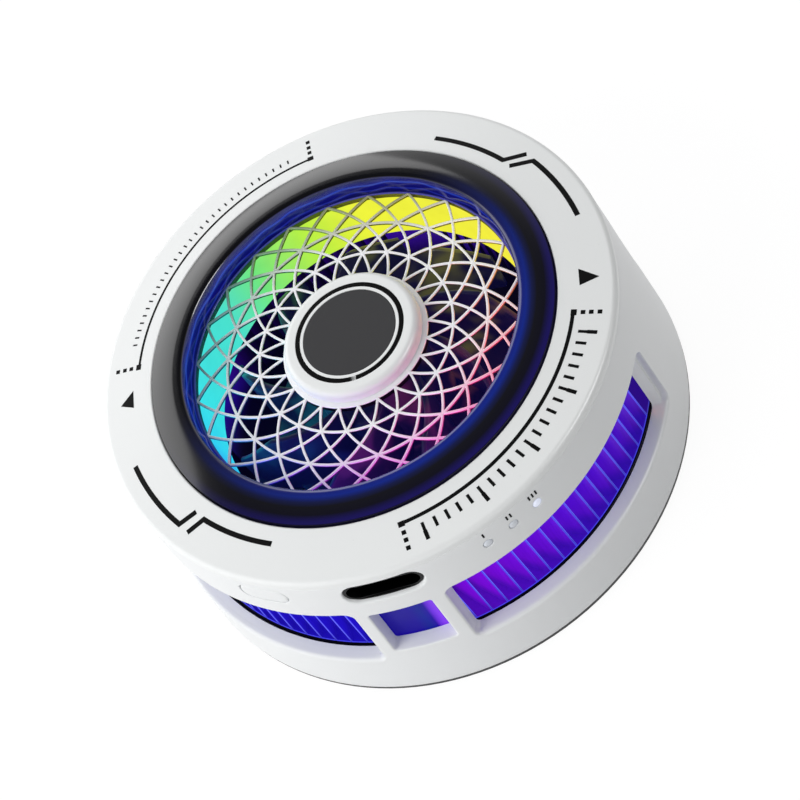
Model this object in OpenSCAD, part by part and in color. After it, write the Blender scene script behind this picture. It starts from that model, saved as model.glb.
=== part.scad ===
// Round clip-on cooler for a phone: a fan over a ring of leaning fins, a thermoelectric
// module under it, and a ring of magnets that holds it to the back of the phone.
// Millimetres. The contact face is at z = 0, the fan turns about +Z and the power socket
// faces -Y. Bearings are turned from -Y, counter-clockwise as seen from above.

/* [Housing] */
// Outer diameter at the foot of the side wall
body_d = 66; // [60:0.5:72]
// How far the side wall leans in from its foot to the bezel, on each side
wall_draft = 1.75; // [1:0.05:2]
// Thickness of the side wall
wall_t = 1.8; // [1.5:0.1:2]
// Width of the bezel, from the side wall's face to the smoked ring
bezel_w = 6.55; // [6.4:0.05:7.4]
// Radius of the bezel's rounded rim
rim_r = 1.2; // [0.8:0.1:1.3]
// Fall of the bezel's top face from its inner edge to its rim
bezel_fall = 0.5; // [0.3:0.1:0.7]
// Depth of the collar that centres the bezel in the side wall
collar_h = 1.5; // [1:0.1:2]
// Thickness of that collar
collar_t = 1.4; // [1:0.1:1.8]
// Bearing at which the collar starts and ends, clear of the socket and the button
collar_start = 60; // [55:1:80]
// Radius of a screw boss inside the side wall
boss_r = 1.6; // [1.4:0.1:1.7]
// Height of a screw boss
boss_h = 7; // [6:0.5:9]

/* [Air outlets] */
// Angle of the wall between the small window under the socket and the first outlet
post_span = 5.1; // [4.6:0.1:8]
// Angle that one outlet spans
outlet_span = 58; // [50:1:60]
// Height of an outlet's sill above the roots of the fins
sill_h = 0.1; // [0:0.1:2]
// Depth of the recessed frame round an outlet
frame_depth = 0.9; // [0.5:0.1:1]
// Width of that frame below the outlet
frame_low = 0.4; // [0.2:0.1:0.8]
// Angle of that frame at the end nearer the socket
frame_near = 2.4; // [1.5:0.1:3]
// Angle of that frame at the other end
frame_far = 5.3; // [3:0.1:6]
// Angle that the small window under the socket spans
window_span = 13.2; // [10:0.2:14]
// Height of that window
window_h = 8.2; // [6:0.2:8.6]
// Thickness of the clear insert behind that window
insert_t = 0.9; // [0.6:0.1:1.2]
// Angle by which that insert reaches past the window at each side
insert_lap = 2; // [1:0.5:3]

/* [Contact side] */
// Thickness of the soft pads
pad_t = 0.5; // [0.4:0.1:0.8]
// How far the thermal pad stays inside the cold plate's edge
pad_inset = 1; // [0.2:0.1:3]
// Gap between the cold plate and the grip ring
grip_gap = 1; // [0.5:0.1:2]
// How far the grip ring stays inside the side wall's foot
grip_inset = 1.5; // [1:0.1:3]
// Thickness of the base cover
cover_t = 1.5; // [1.3:0.1:2]
// Thickness of the cover's flange under the side wall
foot_t = 0.5; // [0.4:0.1:0.8]
// How far that flange stays inside the side wall's foot
foot_inset = 0.05; // [0.05:0.05:0.8]
// Thickness of the cold plate
plate_t = 2.3; // [2.1:0.1:3]
// Width of the cold plate's flange
plate_lip = 2; // [1.2:0.1:2.4]
// Gap between the cold plate's flange and the magnets
plate_gap = 1.3; // [0.8:0.1:2]
// Number of magnets
magnet_n = 16; // [12:1:18]
// Width of the magnet ring
magnet_w = 3.9; // [3:0.1:4.4]
// Gap between the magnet ring and the screw bosses
magnet_clear = 0.65; // [0.5:0.05:1.2]
// Thickness of the magnets
magnet_t = 1.8; // [1.4:0.1:2]
// Angle between two neighbouring magnets
magnet_gap = 2; // [1:0.1:4]
// Thickness of the steel ring behind the magnets
yoke_t = 0.6; // [0.4:0.1:0.7]
// Width of that ring past the magnets on both sides
yoke_lip = 0.2; // [0:0.1:0.3]

/* [Cooling module] */
// How far the square module's corners stay inside the insulation ring
module_margin = 2.8; // [1.5:0.1:4]
// Thickness of each ceramic face
ceramic_t = 0.7; // [0.6:0.1:1]
// Height of the legs between the faces
leg_h = 1.6; // [1.4:0.1:2]
// Side of one leg
leg_w = 1.2; // [1:0.1:1.4]
// Legs along each side
leg_n = 8; // [6:2:10]
// Bare edge of the ceramic faces outside the legs' pitch
leg_margin = 0.5; // [0.3:0.1:1]
// How far the insulation ring reaches past the cold plate's edge, on its flange
insulation_lap = 1; // [0.4:0.1:1.2]

/* [Heat sink] */
// Thickness of the heat sink's floor
floor_t = 1.8; // [1.5:0.1:2.5]
// Height of the fins
fin_h = 10.8; // [10.4:0.1:13]
// Thickness of one fin
fin_t = 0.4; // [0.35:0.05:0.7]
// Angle from fin to fin
fin_pitch = 3.75; // [3.25:0.05:5]
// Lean of the fins from the radius
fin_lean = 30; // [22:1:32]

/* [Fan] */
// Number of blades
blade_n = 9; // [5:1:11]
// Thickness of a blade
blade_t = 0.8; // [0.6:0.1:1.2]
// Height of the blades above the back plate
blade_h = 10.3; // [8:0.1:11]
// Bearing by which a blade's tip trails its root
blade_sweep = 42; // [20:1:50]
// How far the impeller's back plate stays inside the blade tips
back_inset = 3.8; // [1:0.1:6]
// Thickness of the back plate
back_t = 0.8; // [0.6:0.1:1]
// Diameter of the impeller's hub
fan_hub_d = 15.6; // [15.4:0.1:16.5]
// Thickness of the hub's crown
crown_t = 1.2; // [1:0.1:1.6]
// Diameter of the shaft
shaft_d = 2; // [1.6:0.1:2.2]
// Running clearance between the shaft and its bearing, all round
shaft_play = 0.03; // [0.02:0.01:0.08]
// Wall of the bearing
bearing_t = 0.97; // [0.8:0.01:1]
// Wall of the bearing tube
tube_t = 0.85; // [0.7:0.05:0.95]
// Height of the bearing tube above the motor flange
tube_h = 6.4; // [6:0.1:6.6]
// Diameter of the motor flange
motor_d = 17; // [16:0.5:18]
// Thickness of the motor flange
motor_t = 1; // [0.8:0.1:1.2]

/* [Lit ring and guard] */
// Gap between the blade tips and the light guide
tip_gap = 0.8; // [0.6:0.1:1]
// Thickness of the light guide's wall
guide_t = 0.8; // [0.6:0.1:1]
// Height of the light guide's wall
guide_h = 7.1; // [5:0.1:8]
// Thickness of the light guide's flange
guide_flange_t = 0.6; // [0.4:0.1:1]
// Thickness of the fan guard
guard_t = 0.9; // [0.7:0.1:1.2]
// Width of the guard's bars
bar_w = 0.4; // [0.36:0.02:0.8]
// Bars in each direction
bar_n = 24; // [18:2:30]
// Radius of the guard's solid middle
guard_hub_r = 8.9; // [8.7:0.1:9.5]
// Depth of the guard's first row of triangles
first_row = 3; // [2.4:0.1:3.6]
// Width of the smoked ring
lens_w = 4.3; // [4:0.1:4.6]
// Distance of the smoked ring's crest from its outer edge
lens_crest_w = 2.35; // [1.8:0.05:2.8]
// Height of the smoked ring's crest above the guard
lens_h = 2.9; // [2.5:0.1:3.4]
// Height of the bezel's inner edge above the guard
bezel_h = 2.1; // [1.8:0.1:2.4]
// Thickness of the smoked ring's flange
lens_flange_t = 0.6; // [0.4:0.1:0.8]
// Width of the smoked ring's flange
lens_flange_w = 1; // [0.8:0.1:1.1]
// Height of the rounding at the smoked ring's inner lip
lens_lip_h = 0.4; // [0.3:0.1:1]
// Slope of the smoked ring's inner wall, as a width
lens_draft = 0.2; // [0.1:0.05:0.4]

/* [Hub] */
// How far the hub cap stays inside the guard's solid middle
cap_inset = 0.6; // [0.2:0.05:0.8]
// Width of the slope at the hub cap's edge
cap_slope_w = 0.32; // [0.2:0.02:0.6]
// Height of the hub cap
cap_h = 1.7; // [1.4:0.1:2]
// Height of the hub cap's upright edge
cap_edge_h = 1.4; // [0.3:0.1:1.5]
// Diameter of the grey disc
disc_d = 11.4; // [10.8:0.1:12]
// Width of the white land between the disc and the black trim
disc_land = 0.38; // [0.1:0.02:0.5]
// Width of the black trim
trim_w = 0.55; // [0.3:0.05:0.6]
// Angle left open in the black trim
trim_gap = 6; // [3:1:20]
// Depth of the recesses for the disc and the trim
recess_h = 0.4; // [0.3:0.1:0.6]

/* [Electronics] */
// Thickness of the deck
deck_t = 1; // [0.8:0.1:1.4]
// Height of the deck's upright ring
ring_h = 4.5; // [4.4:0.1:5]
// Thickness of the deck's upright ring
ring_t = 1.8; // [1.6:0.1:1.9]
// Ledge in that ring for the light guide
ledge_w = 0.6; // [0.4:0.1:0.8]
// Thickness of the control board
board_t = 1.2; // [1:0.1:1.2]
// Half of the angle that the control board spans
board_half = 47; // [46:1:52]
// Thickness of the lamp board
led_board_t = 0.8; // [0.6:0.1:1]
// Number of lamps in the lit ring
led_n = 24; // [12:1:30]
// Side of one lamp
led_w = 1.6; // [1:0.1:1.7]
// Height of one lamp
led_h = 0.7; // [0.5:0.1:1]
// Width of the power socket
socket_w = 8.94; // [8.6:0.02:9.4]
// Height of the power socket
socket_h = 3.16; // [2.8:0.02:3.2]
// How far the socket's mouth stays behind the side wall's face
socket_recess = 0.5; // [0.4:0.1:1.3]
// Thickness of the socket's metal shell
socket_wall = 0.3; // [0.2:0.05:0.4]
// Width of the socket's tongue
tongue_w = 6.7; // [5:0.1:7]
// Thickness of the socket's tongue
tongue_t = 0.7; // [0.5:0.1:0.9]
// Bearing of the button
button_bearing = -26; // [-30:0.5:-24]
// Width of the button
button_w = 6; // [5:0.1:6.4]
// Height of the button
button_h = 2.4; // [2:0.1:2.6]
// Travel of the button
button_travel = 0.5; // [0.3:0.05:0.6]
// Diameter of an indicator light
pipe_d = 1.1; // [0.8:0.1:1.3]
// Bearing of the middle indicator light
pipe_bearing = 28.5; // [27:0.5:30]
// Angle between two indicator lights
pipe_pitch = 6.1; // [5.5:0.1:6.5]

/* [Fits] */
// Gap round pieces that drop into a seat
fit_gap = 0.15; // [0.1:0.01:0.2]
// Gap round pieces that move
run_gap = 0.25; // [0.2:0.01:0.35]

/* [Hidden] */
$fn = 96;
// Length by which a cut runs past a face, or two shapes of one piece overlap
eps = 0.5;
// Gaps between inner pieces: beside each other, glued and pressed
side_gap = 0.3;
glue_gap = 0.05;
press_gap = 0.02;

// Heights, from the contact face up
z_foot = pad_t + foot_t;
z_cover = pad_t + cover_t;
z_plate = pad_t + plate_t;
z_legs = z_plate + ceramic_t;
z_hot_face = z_legs + leg_h;
z_sink = z_hot_face + ceramic_t;
z_fins = z_sink + floor_t;
z_deck = z_fins + fin_h;
z_boards = z_deck + deck_t;
z_guard_top = z_boards + ring_h;
z_guard = z_guard_top - guard_t;
z_seam = z_guard_top + lens_flange_t / 2;
z_bezel = z_guard_top + bezel_h;
z_board_top = z_boards + board_t;
z_socket = z_board_top + socket_h / 2;
pipe_drop = 0.4;
z_pipes = z_socket - pipe_drop;
z_sill = z_fins + sill_h;
window_head = 0.8;
z_window = z_deck - window_head - window_h;

// Radii of the lit ring and what is round it, from the bezel in
bezel_in = body_d / 2 - wall_draft - bezel_w;
lens_out = bezel_in - fit_gap;
lens_flange_r = lens_out + lens_flange_w;
lens_in = lens_out - lens_w;
guide_in = lens_in - fit_gap;
guide_out = guide_in + guide_t;
fan_r = guide_in - tip_gap;
ring_inset = 0.4;
ring_out = lens_flange_r - ring_inset;
ring_in = ring_out - ring_t;
seat_r = ring_in + ledge_w;
deck_in = guide_out + fit_gap;

// Side wall: outer and inner radius at a height
function wall_out(z) = body_d / 2 - wall_draft * (z - z_foot) / (z_seam - z_foot);
function wall_in(z) = wall_out(z) - wall_t;

// Heat sink and screws
fin_in = deck_in + side_gap;
fin_gap = 0.5;
// Outer edges of the fins, which follow the side wall
function fin_edge(z) = wall_in(z) - fin_gap;
fin_out = fin_edge(z_fins);
fin_run = fin_out * cos(fin_lean) - sqrt(pow(fin_in, 2) - pow(fin_out * sin(fin_lean), 2));
fins_per_outlet = floor(outlet_span / fin_pitch) + 2;
outlet_mid = window_span / 2 + post_span + outlet_span / 2;
outlet_bearings = [outlet_mid, 180 - outlet_mid, 180 + outlet_mid, 360 - outlet_mid];
screw_bearings = [90, 180, 270];
screw_r = wall_in(z_fins) - boss_r - fit_gap;
screw_d = 1.6;
screw_head_d = 3;
screw_head_h = 1;
boss_end_t = 1;
magnet_out = screw_r - boss_r - magnet_clear;
magnet_in = magnet_out - magnet_w;
motor_screw_bearings = [60, 180, 300];
motor_screw_d = 1;
motor_screw_head_d = 1.8;
motor_screw_head_h = 0.6;
motor_screw_r = motor_d / 2 - motor_screw_head_d / 2 - side_gap;
hole_gap = 0.05;

// Cold plate and module, from the magnets in
plate_r = magnet_in - plate_gap - plate_lip;
insulation_r = plate_r + insulation_lap;
module_w = sqrt(2) * (insulation_r - module_margin);

// Motor, from the flange up
z_motor = z_fins + motor_t;
shaft_r = shaft_d / 2;
bearing_in = shaft_r + shaft_play;
bearing_out = bearing_in + bearing_t;
tube_in = bearing_out + press_gap;
tube_out = tube_in + tube_t;
washer_t = 0.4;
motor_board_t = 0.7;
z_washer = z_motor + washer_t;
z_tube_top = z_motor + tube_h;
back_gap = 0.7;
z_back = z_motor + motor_screw_head_h + back_gap;
crown_gap = 1.1;
z_crown = z_tube_top + crown_gap;
z_hub_top = z_crown + crown_t;
z_blade_top = z_back + back_t + blade_h;
stator_lift = 2;
z_stator = z_motor + stator_lift;
stator_h = 3.4;
stator_in = tube_out + glue_gap;
stator_ring = 0.65;
pole_l = 2.25;
pole_r = stator_in + pole_l;
pole_w = 1.2;
pole_n = 4;
shoe_t = 0.6;
shoe_half = 32;
coil_t = 0.5;
coil_gap = 0.1;
air_gap = 0.35;
magnet_ring_in = pole_r + air_gap;
rotor_yoke_t = 0.4;
fan_hub_t = 0.95;
rotor_yoke_out = fan_hub_d / 2 - fan_hub_t;
magnet_ring_out = rotor_yoke_out - rotor_yoke_t - glue_gap;
magnet_overhang = 0.6;
magnet_ring_h = stator_h + 2 * magnet_overhang;

// Electronics
board_in = ring_out + fit_gap;
board_out = wall_in(z_board_top) - side_gap;
socket_front = wall_out(z_socket) - socket_recess;
socket_back = seat_r + fit_gap;
socket_l = socket_front - socket_back;
socket_block_l = 1.5;
tongue_inset = 0.8;
button_lip = 0.8;
button_lip_t = 0.6;
button_flange_w = button_w + 2 * button_lip;
button_seat = sqrt(pow(wall_in(z_socket + button_h / 2), 2) - pow(button_flange_w / 2, 2)) - run_gap;
button_back = button_seat - button_lip_t;
switch_front = button_back - button_travel - side_gap;
switch_l = 2;
switch_w = 4.4;
switch_h = 3;
switch_back_t = 0.3;
plunger_l = switch_l - switch_back_t + side_gap - run_gap;
plunger_w = 1.6;
plunger_h = 1.2;
pipe_lip = 0.35;
pipe_lip_t = 0.6;
pipe_seat = sqrt(pow(wall_in(z_pipes), 2) - pow(pipe_d / 2 + pipe_lip, 2)) - fit_gap;
pipe_bearings = [for (i = [-1:1]) pipe_bearing + i * pipe_pitch];
indicator_l = 1;
indicator_w = 1.6;
controller_bearing = 16;
controller_w = 3;
controller_h = 0.9;
choke_bearing = -14.5;
choke_w = 2.4;
choke_h = 1.6;
capacitor_bearings = [42, -40];
capacitor_w = 1.8;
capacitor_h = 1.2;

// Wiring: the flat fan lead and the two module leads rise at the front, where there are no fins
lead_d = 0.9;
lead_x = [-0.3, 1.1];
lead_r = lead_d / 2;
lead_y = -(board_in + board_out) / 2;
lead_z = z_sink - lead_r - fit_gap;
lead_bend = 1.6;
ribbon_x = -3;
ribbon_w = 2.4;
ribbon_t = 0.4;
ribbon_y = -(board_in + side_gap);
slot_margin = 0.35;

// Hub, and the rows of the guard's lattice from its middle to its rim
trim_in = disc_d / 2 + disc_land;
trim_out = trim_in + trim_w;
cap_r = guard_hub_r - cap_inset;
cap_top_r = cap_r - cap_slope_w;
row_n = 4;
row_step = (guide_in - guard_hub_r - first_row) / row_n;
rows = [guard_hub_r, for (i = [0:row_n]) guard_hub_r + first_row + i * row_step];
lattice_turn = -2;

// Plane geometry
function polar(r, a) = [r * cos(a), r * sin(a)];
function arc(c, r, a0, a1, n) = [for (i = [0:n]) c + polar(r, a0 + (a1 - a0) * i / n)];
function cross2(a, b) = a[0] * b[1] - a[1] * b[0];
function inner_edge(p, q, d) = let (u = (q - p) / norm(q - p)) [p + d * [-u[1], u[0]], u];
function meet(a, b) = a[0] + a[1] * cross2(b[0] - a[0], b[1]) / cross2(a[1], b[1]);

// A convex outline, counter-clockwise, drawn in by d on every side
function inset(pts, d) =
    let (m = len(pts), edges = [for (i = [0:m - 1]) inner_edge(pts[i], pts[(i + 1) % m], d)])
    [for (i = [0:m - 1]) meet(edges[(i + m - 1) % m], edges[i])];

// Turns children to a bearing, with +X outwards
module at(bearing, r = 0, z = 0) {
    rotate([0, 0, bearing - 90]) translate([r, 0, z]) children();
}

module tube(r_in, r_out, h) {
    difference() {
        cylinder(r = r_out, h = h);
        translate([0, 0, -eps]) cylinder(r = r_in, h = h + 2 * eps);
    }
}

// Part of a ring between two bearings
module sector(r_in, r_out, h, from, to) {
    at(from) rotate_extrude(angle = to - from) translate([r_in, 0]) square([r_out - r_in, h]);
}

module pill_outline(w, h) {
    square([w - h, h], center = true);
    for (side = [-1, 1]) translate([side * (w - h) / 2, 0]) circle(d = h);
}

// A pill-shaped bar along +X
module pill(w, h, l) {
    rotate([90, 0, 90]) linear_extrude(l) pill_outline(w, h);
}

// A box along +X, centred on the other two axes
module bar(l, w, h) {
    translate([0, -w / 2, -h / 2]) cube([l, w, h]);
}

// Four copies of what is drawn in the front right quarter
module four_quarters() {
    for (mx = [0, 1], my = [0, 1]) mirror([mx, 0, 0]) mirror([0, my, 0]) children();
}

// A screw with its head at the bottom, and a cross in the head
module screw(d, head_d, head_h, l) {
    cross_w = head_d / 5;
    cross_l = head_d * 2 / 3;
    difference() {
        union() {
            cylinder(d = head_d, h = head_h);
            cylinder(d = d, h = head_h + l);
        }
        for (turn = [0, 90]) rotate([0, 0, turn])
            translate([-cross_l / 2, -cross_w / 2, -eps]) cube([cross_l, cross_w, eps + head_h / 2]);
    }
}

// A round lead along a line of points in the plane x = 0
module lead(points, r) {
    sides = 8;
    n = len(points);
    function way(i) = let (d = points[min(i + 1, n - 1)] - points[max(i - 1, 0)]) d / norm(d);
    function ring(i) = let (u = way(i))
        [for (s = [0:sides - 1]) let (c = polar(r, 360 * s / sides))
            [c[0], points[i][0] - u[1] * c[1], points[i][1] + u[0] * c[1]]];
    function side(i, s) = let (a = i * sides + s, b = i * sides + (s + 1) % sides)
        [[a, b, b + sides], [a, b + sides, a + sides]];
    polyhedron(
        points = [for (i = [0:n - 1]) each ring(i)],
        faces = [
            [for (s = [sides - 1:-1:0]) s],
            for (i = [0:n - 2], s = [0:sides - 1]) each side(i, s),
            [for (s = [0:sides - 1]) (n - 1) * sides + s]
        ]
    );
}

module body_shell() {
    color("white") difference() {
        union() {
            rotate_extrude() polygon([
                [wall_in(z_foot), z_foot], [wall_out(z_foot), z_foot],
                [wall_out(z_seam), z_seam], [wall_in(z_seam), z_seam]
            ]);
            for (b = screw_bearings) at(b, 0, z_fins) {
                translate([screw_r, 0, 0]) cylinder(r = boss_r, h = boss_h);
                translate([screw_r, -boss_r / 2, 0])
                    cube([wall_in(z_fins) + wall_t / 2 - screw_r, boss_r, boss_h]);
            }
        }
        for (b = screw_bearings) at(b, screw_r, z_fins - eps)
            cylinder(d = screw_d + 2 * hole_gap, h = boss_h - boss_end_t + eps);
        outlet_cuts();
        window_cut();
        at(0, board_in, z_socket) pill(socket_w + 2 * fit_gap, socket_h + 2 * fit_gap, body_d / 2);
        at(button_bearing, board_in, z_socket)
            pill(button_w + 2 * run_gap, button_h + 2 * run_gap, body_d / 2);
        for (b = pipe_bearings) at(b, board_in, z_pipes)
            rotate([0, 90, 0]) cylinder(d = pipe_d + 2 * hole_gap, h = body_d / 2);
    }
}

// Each outlet is a through cut inside a wider, shallow frame
module outlet_cuts() {
    half = outlet_span / 2;
    frame_in = wall_out(z_sill) - frame_depth;
    four_quarters() {
        translate([0, 0, z_sill])
            sector(fin_in, body_d, z_deck - z_sill, outlet_mid - half, outlet_mid + half);
        translate([0, 0, z_sill - frame_low])
            sector(frame_in, body_d, z_deck - z_sill + frame_low,
                outlet_mid - half - frame_near, outlet_mid + half + frame_far);
    }
}

module window_cut() {
    translate([0, 0, z_window]) sector(fin_in, body_d, window_h, -window_span / 2, window_span / 2);
}

module front_bezel() {
    r_out = wall_out(z_seam);
    rim_z = z_bezel - bezel_fall;
    collar_out = wall_in(z_seam) - fit_gap;
    color("white") union() {
        rotate_extrude() polygon(concat(
            [[bezel_in, z_guard_top + lens_flange_t], [lens_flange_r + fit_gap, z_guard_top + lens_flange_t],
                [lens_flange_r + fit_gap, z_seam], [r_out, z_seam]],
            arc([r_out - rim_r, rim_z - rim_r], rim_r, 0, 90, 8),
            [[bezel_in, z_bezel]]
        ));
        translate([0, 0, z_seam - collar_h])
            sector(collar_out - collar_t, collar_out, collar_h + lens_flange_t / 2,
                collar_start, 360 - collar_start);
    }
}

module lens_ring() {
    crest_z = z_guard_top + lens_h;
    crest_r = lens_out - lens_crest_w;
    outer_z = z_bezel - fit_gap;
    inner_z = crest_z - lens_lip_h;
    inner_r = lens_in + lens_draft;
    outer_round = [for (t = [0:15:90])
        [crest_r + (lens_out - crest_r) * cos(t), outer_z + (crest_z - outer_z) * sin(t)]];
    inner_round = [for (t = [105:15:180])
        [crest_r + (crest_r - inner_r) * cos(t), inner_z + (crest_z - inner_z) * sin(t)]];
    foot = [[lens_in, z_guard_top], [lens_flange_r, z_guard_top],
        [lens_flange_r, z_guard_top + lens_flange_t], [lens_out, z_guard_top + lens_flange_t]];
    color([0.05, 0.05, 0.16]) rotate_extrude() polygon(concat(foot, outer_round, inner_round));
}

// Lattice point k of row j: each row is half a step round from the last
function lattice_point(j, k) = polar(rows[j], lattice_turn + 360 / bar_n * (k + j / 2));
module cell(points) {
    polygon(inset([for (p = points) lattice_point(p[0], p[1])], bar_w / 2));
}

module fan_guard() {
    color("white") translate([0, 0, z_guard]) linear_extrude(guard_t) difference() {
        circle(r = seat_r - fit_gap);
        for (k = [0:bar_n - 1]) {
            cell([[0, k], [1, k], [0, k + 1]]);
            cell([[0, k + 1], [1, k], [1, k + 1]]);
            for (j = [1, 3]) {
                cell([[j, k], [j + 1, k], [j, k + 1]]);
                cell([[j, k + 1], [j + 1, k], [j + 2, k], [j + 1, k + 1]]);
                cell([[j + 1, k], [j + 2, k - 1], [j + 2, k]]);
            }
        }
    }
}

module hub_cap() {
    color("white") difference() {
        rotate_extrude() polygon([
            [0, z_guard_top], [cap_r, z_guard_top], [cap_r, z_guard_top + cap_edge_h],
            [cap_top_r, z_guard_top + cap_h], [0, z_guard_top + cap_h]
        ]);
        translate([0, 0, z_guard_top + cap_h - recess_h]) {
            cylinder(r = disc_d / 2 + press_gap, h = recess_h + eps);
            tube(trim_in - press_gap, trim_out + press_gap, recess_h + eps);
        }
    }
}

module hub_trim_ring() {
    color("black") translate([0, 0, z_guard_top + cap_h - recess_h])
        sector(trim_in, trim_out, recess_h, trim_gap / 2, 360 - trim_gap / 2);
}

module hub_disc() {
    color([0.27, 0.27, 0.28]) translate([0, 0, z_guard_top + cap_h - recess_h])
        cylinder(d = disc_d, h = recess_h);
}

module light_guide() {
    color([0.6, 0.95, 0.6, 0.8]) translate([0, 0, z_guard - guide_h]) union() {
        tube(guide_in, guide_out, guide_h);
        translate([0, 0, guide_h - guide_flange_t]) tube(guide_in, seat_r - fit_gap, guide_flange_t);
    }
}

// The insert follows the side wall's slope and stands on the heat sink's floor
module front_window() {
    low = z_fins;
    high = z_deck - fit_gap;
    half = window_span / 2 + insert_lap;
    color([0.3, 0.1, 0.8, 0.8]) at(-half) rotate_extrude(angle = 2 * half) polygon([
        [wall_in(low) - fit_gap - insert_t, low], [wall_in(low) - fit_gap, low],
        [wall_in(high) - fit_gap, high], [wall_in(high) - fit_gap - insert_t, high]
    ]);
}

module base_cover() {
    color([0.1, 0.1, 0.11]) difference() {
        union() {
            translate([0, 0, pad_t]) cylinder(r = body_d / 2 - foot_inset, h = foot_t);
            translate([0, 0, pad_t]) cylinder(r = wall_in(z_cover) - fit_gap, h = cover_t);
            for (b = screw_bearings) at(b, screw_r, pad_t) cylinder(r = boss_r, h = z_sink - pad_t);
        }
        translate([0, 0, pad_t - eps]) cylinder(r = plate_r + fit_gap, h = cover_t + 2 * eps);
        for (b = screw_bearings) at(b, screw_r, 0) {
            cylinder(d = screw_d + 2 * hole_gap, h = z_sink + eps);
            cylinder(d = screw_head_d + 2 * hole_gap, h = pad_t + screw_head_h);
        }
    }
}

module grip_ring() {
    color([0.15, 0.15, 0.16]) tube(plate_r + grip_gap, body_d / 2 - grip_inset, pad_t);
}

module thermal_pad() {
    color([0.55, 0.57, 0.6]) cylinder(r = plate_r - pad_inset, h = pad_t);
}

module cold_plate() {
    lip_t = z_plate - z_cover;
    color("silver") union() {
        translate([0, 0, pad_t]) cylinder(r = plate_r, h = plate_t);
        translate([0, 0, z_cover]) cylinder(r = plate_r + plate_lip, h = lip_t);
    }
}

module magnets() {
    step = 360 / magnet_n;
    half = (step - magnet_gap) / 2;
    color([0.7, 0.7, 0.72]) translate([0, 0, z_cover]) for (i = [0:magnet_n - 1])
        sector(magnet_in, magnet_out, magnet_t, i * step - half, i * step + half);
}

module magnet_yoke() {
    color([0.5, 0.5, 0.52]) translate([0, 0, z_cover + magnet_t])
        tube(magnet_in - yoke_lip, magnet_out + yoke_lip, yoke_t);
}

module ceramic_face() {
    color([0.95, 0.95, 0.93]) linear_extrude(ceramic_t) square(module_w, center = true);
}

module module_cold_face() {
    translate([0, 0, z_plate]) ceramic_face();
}

module module_hot_face() {
    translate([0, 0, z_hot_face]) ceramic_face();
}

module module_legs() {
    step = (module_w - 2 * leg_margin) / leg_n;
    color([0.6, 0.55, 0.5]) translate([0, 0, z_legs]) for (i = [0:leg_n - 1], j = [0:leg_n - 1])
        translate([(i - (leg_n - 1) / 2) * step - leg_w / 2, (j - (leg_n - 1) / 2) * step - leg_w / 2, 0])
            cube([leg_w, leg_w, leg_h]);
}

module insulation_ring() {
    h = z_sink - z_plate;
    hole = module_w + 2 * fit_gap;
    slot_l = lead_x[1] - lead_x[0] + lead_d + 2 * slot_margin;
    color([0.2, 0.2, 0.22]) translate([0, 0, z_plate]) difference() {
        cylinder(r = insulation_r, h = h);
        translate([-hole / 2, -hole / 2, -eps]) cube([hole, hole, h + 2 * eps]);
        translate([lead_x[0] - lead_r - slot_margin, -insulation_r - eps, -eps])
            cube([slot_l, insulation_r + eps, h + 2 * eps]);
    }
}

module heat_sink() {
    color([0.42, 0.1, 0.78]) difference() {
        union() {
            translate([0, 0, z_sink]) cylinder(r = wall_in(z_fins) - fit_gap, h = floor_t);
            intersection() {
                translate([0, 0, z_fins - eps]) linear_extrude(fin_h + eps) fins();
                rotate_extrude() polygon([
                    [0, z_sink], [fin_out, z_sink], [fin_out, z_fins], [fin_edge(z_deck), z_deck],
                    [0, z_deck]
                ]);
            }
        }
        for (b = screw_bearings) at(b, screw_r, z_sink - eps)
            cylinder(d = screw_d + 2 * hole_gap, h = floor_t + 2 * eps);
        for (b = motor_screw_bearings) at(b, motor_screw_r, z_sink + side_gap)
            cylinder(d = motor_screw_d + 2 * hole_gap, h = floor_t);
        lead_notch(z_sink - eps, floor_t + 2 * eps);
    }
}

module fins() {
    for (outlet = outlet_bearings, i = [0:fins_per_outlet - 1])
        rotate(outlet + (i - (fins_per_outlet - 1) / 2) * fin_pitch - 90)
            translate([fin_out, 0]) rotate(180 + fin_lean)
                translate([0, -fin_t / 2]) square([fin_run, fin_t]);
}

// Clears the two module leads on their way up
module lead_notch(z, h) {
    x0 = lead_x[0] - lead_r - slot_margin;
    x1 = lead_x[1] + lead_r + slot_margin;
    translate([x0, lead_y - body_d, z]) cube([x1 - x0, body_d + lead_bend + lead_r, h]);
}

// Clears the flat fan lead on its way up
module ribbon_notch(z, h) {
    w = ribbon_w + 2 * slot_margin;
    translate([ribbon_x - w / 2, ribbon_y - ribbon_t - slot_margin, z])
        cube([w, ribbon_t + 2 * slot_margin, h]);
}

module motor_base() {
    color([0.2, 0.2, 0.22]) difference() {
        translate([0, 0, z_fins]) union() {
            cylinder(d = motor_d, h = motor_t);
            cylinder(r = tube_out, h = motor_t + tube_h);
        }
        translate([0, 0, z_motor]) cylinder(r = tube_in, h = tube_h + eps);
        for (b = motor_screw_bearings) at(b, motor_screw_r, z_fins - eps)
            cylinder(d = motor_screw_d + 2 * hole_gap, h = motor_t + 2 * eps);
    }
}

module thrust_washer() {
    color("white") translate([0, 0, z_motor]) cylinder(r = bearing_out, h = washer_t);
}

module bearing() {
    color([0.72, 0.55, 0.3]) translate([0, 0, z_washer])
        tube(bearing_in, bearing_out, tube_h - washer_t - side_gap);
}

module motor_board() {
    color([0.05, 0.3, 0.15]) translate([0, 0, z_motor]) tube(tube_out + fit_gap, pole_r, motor_board_t);
}

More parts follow.
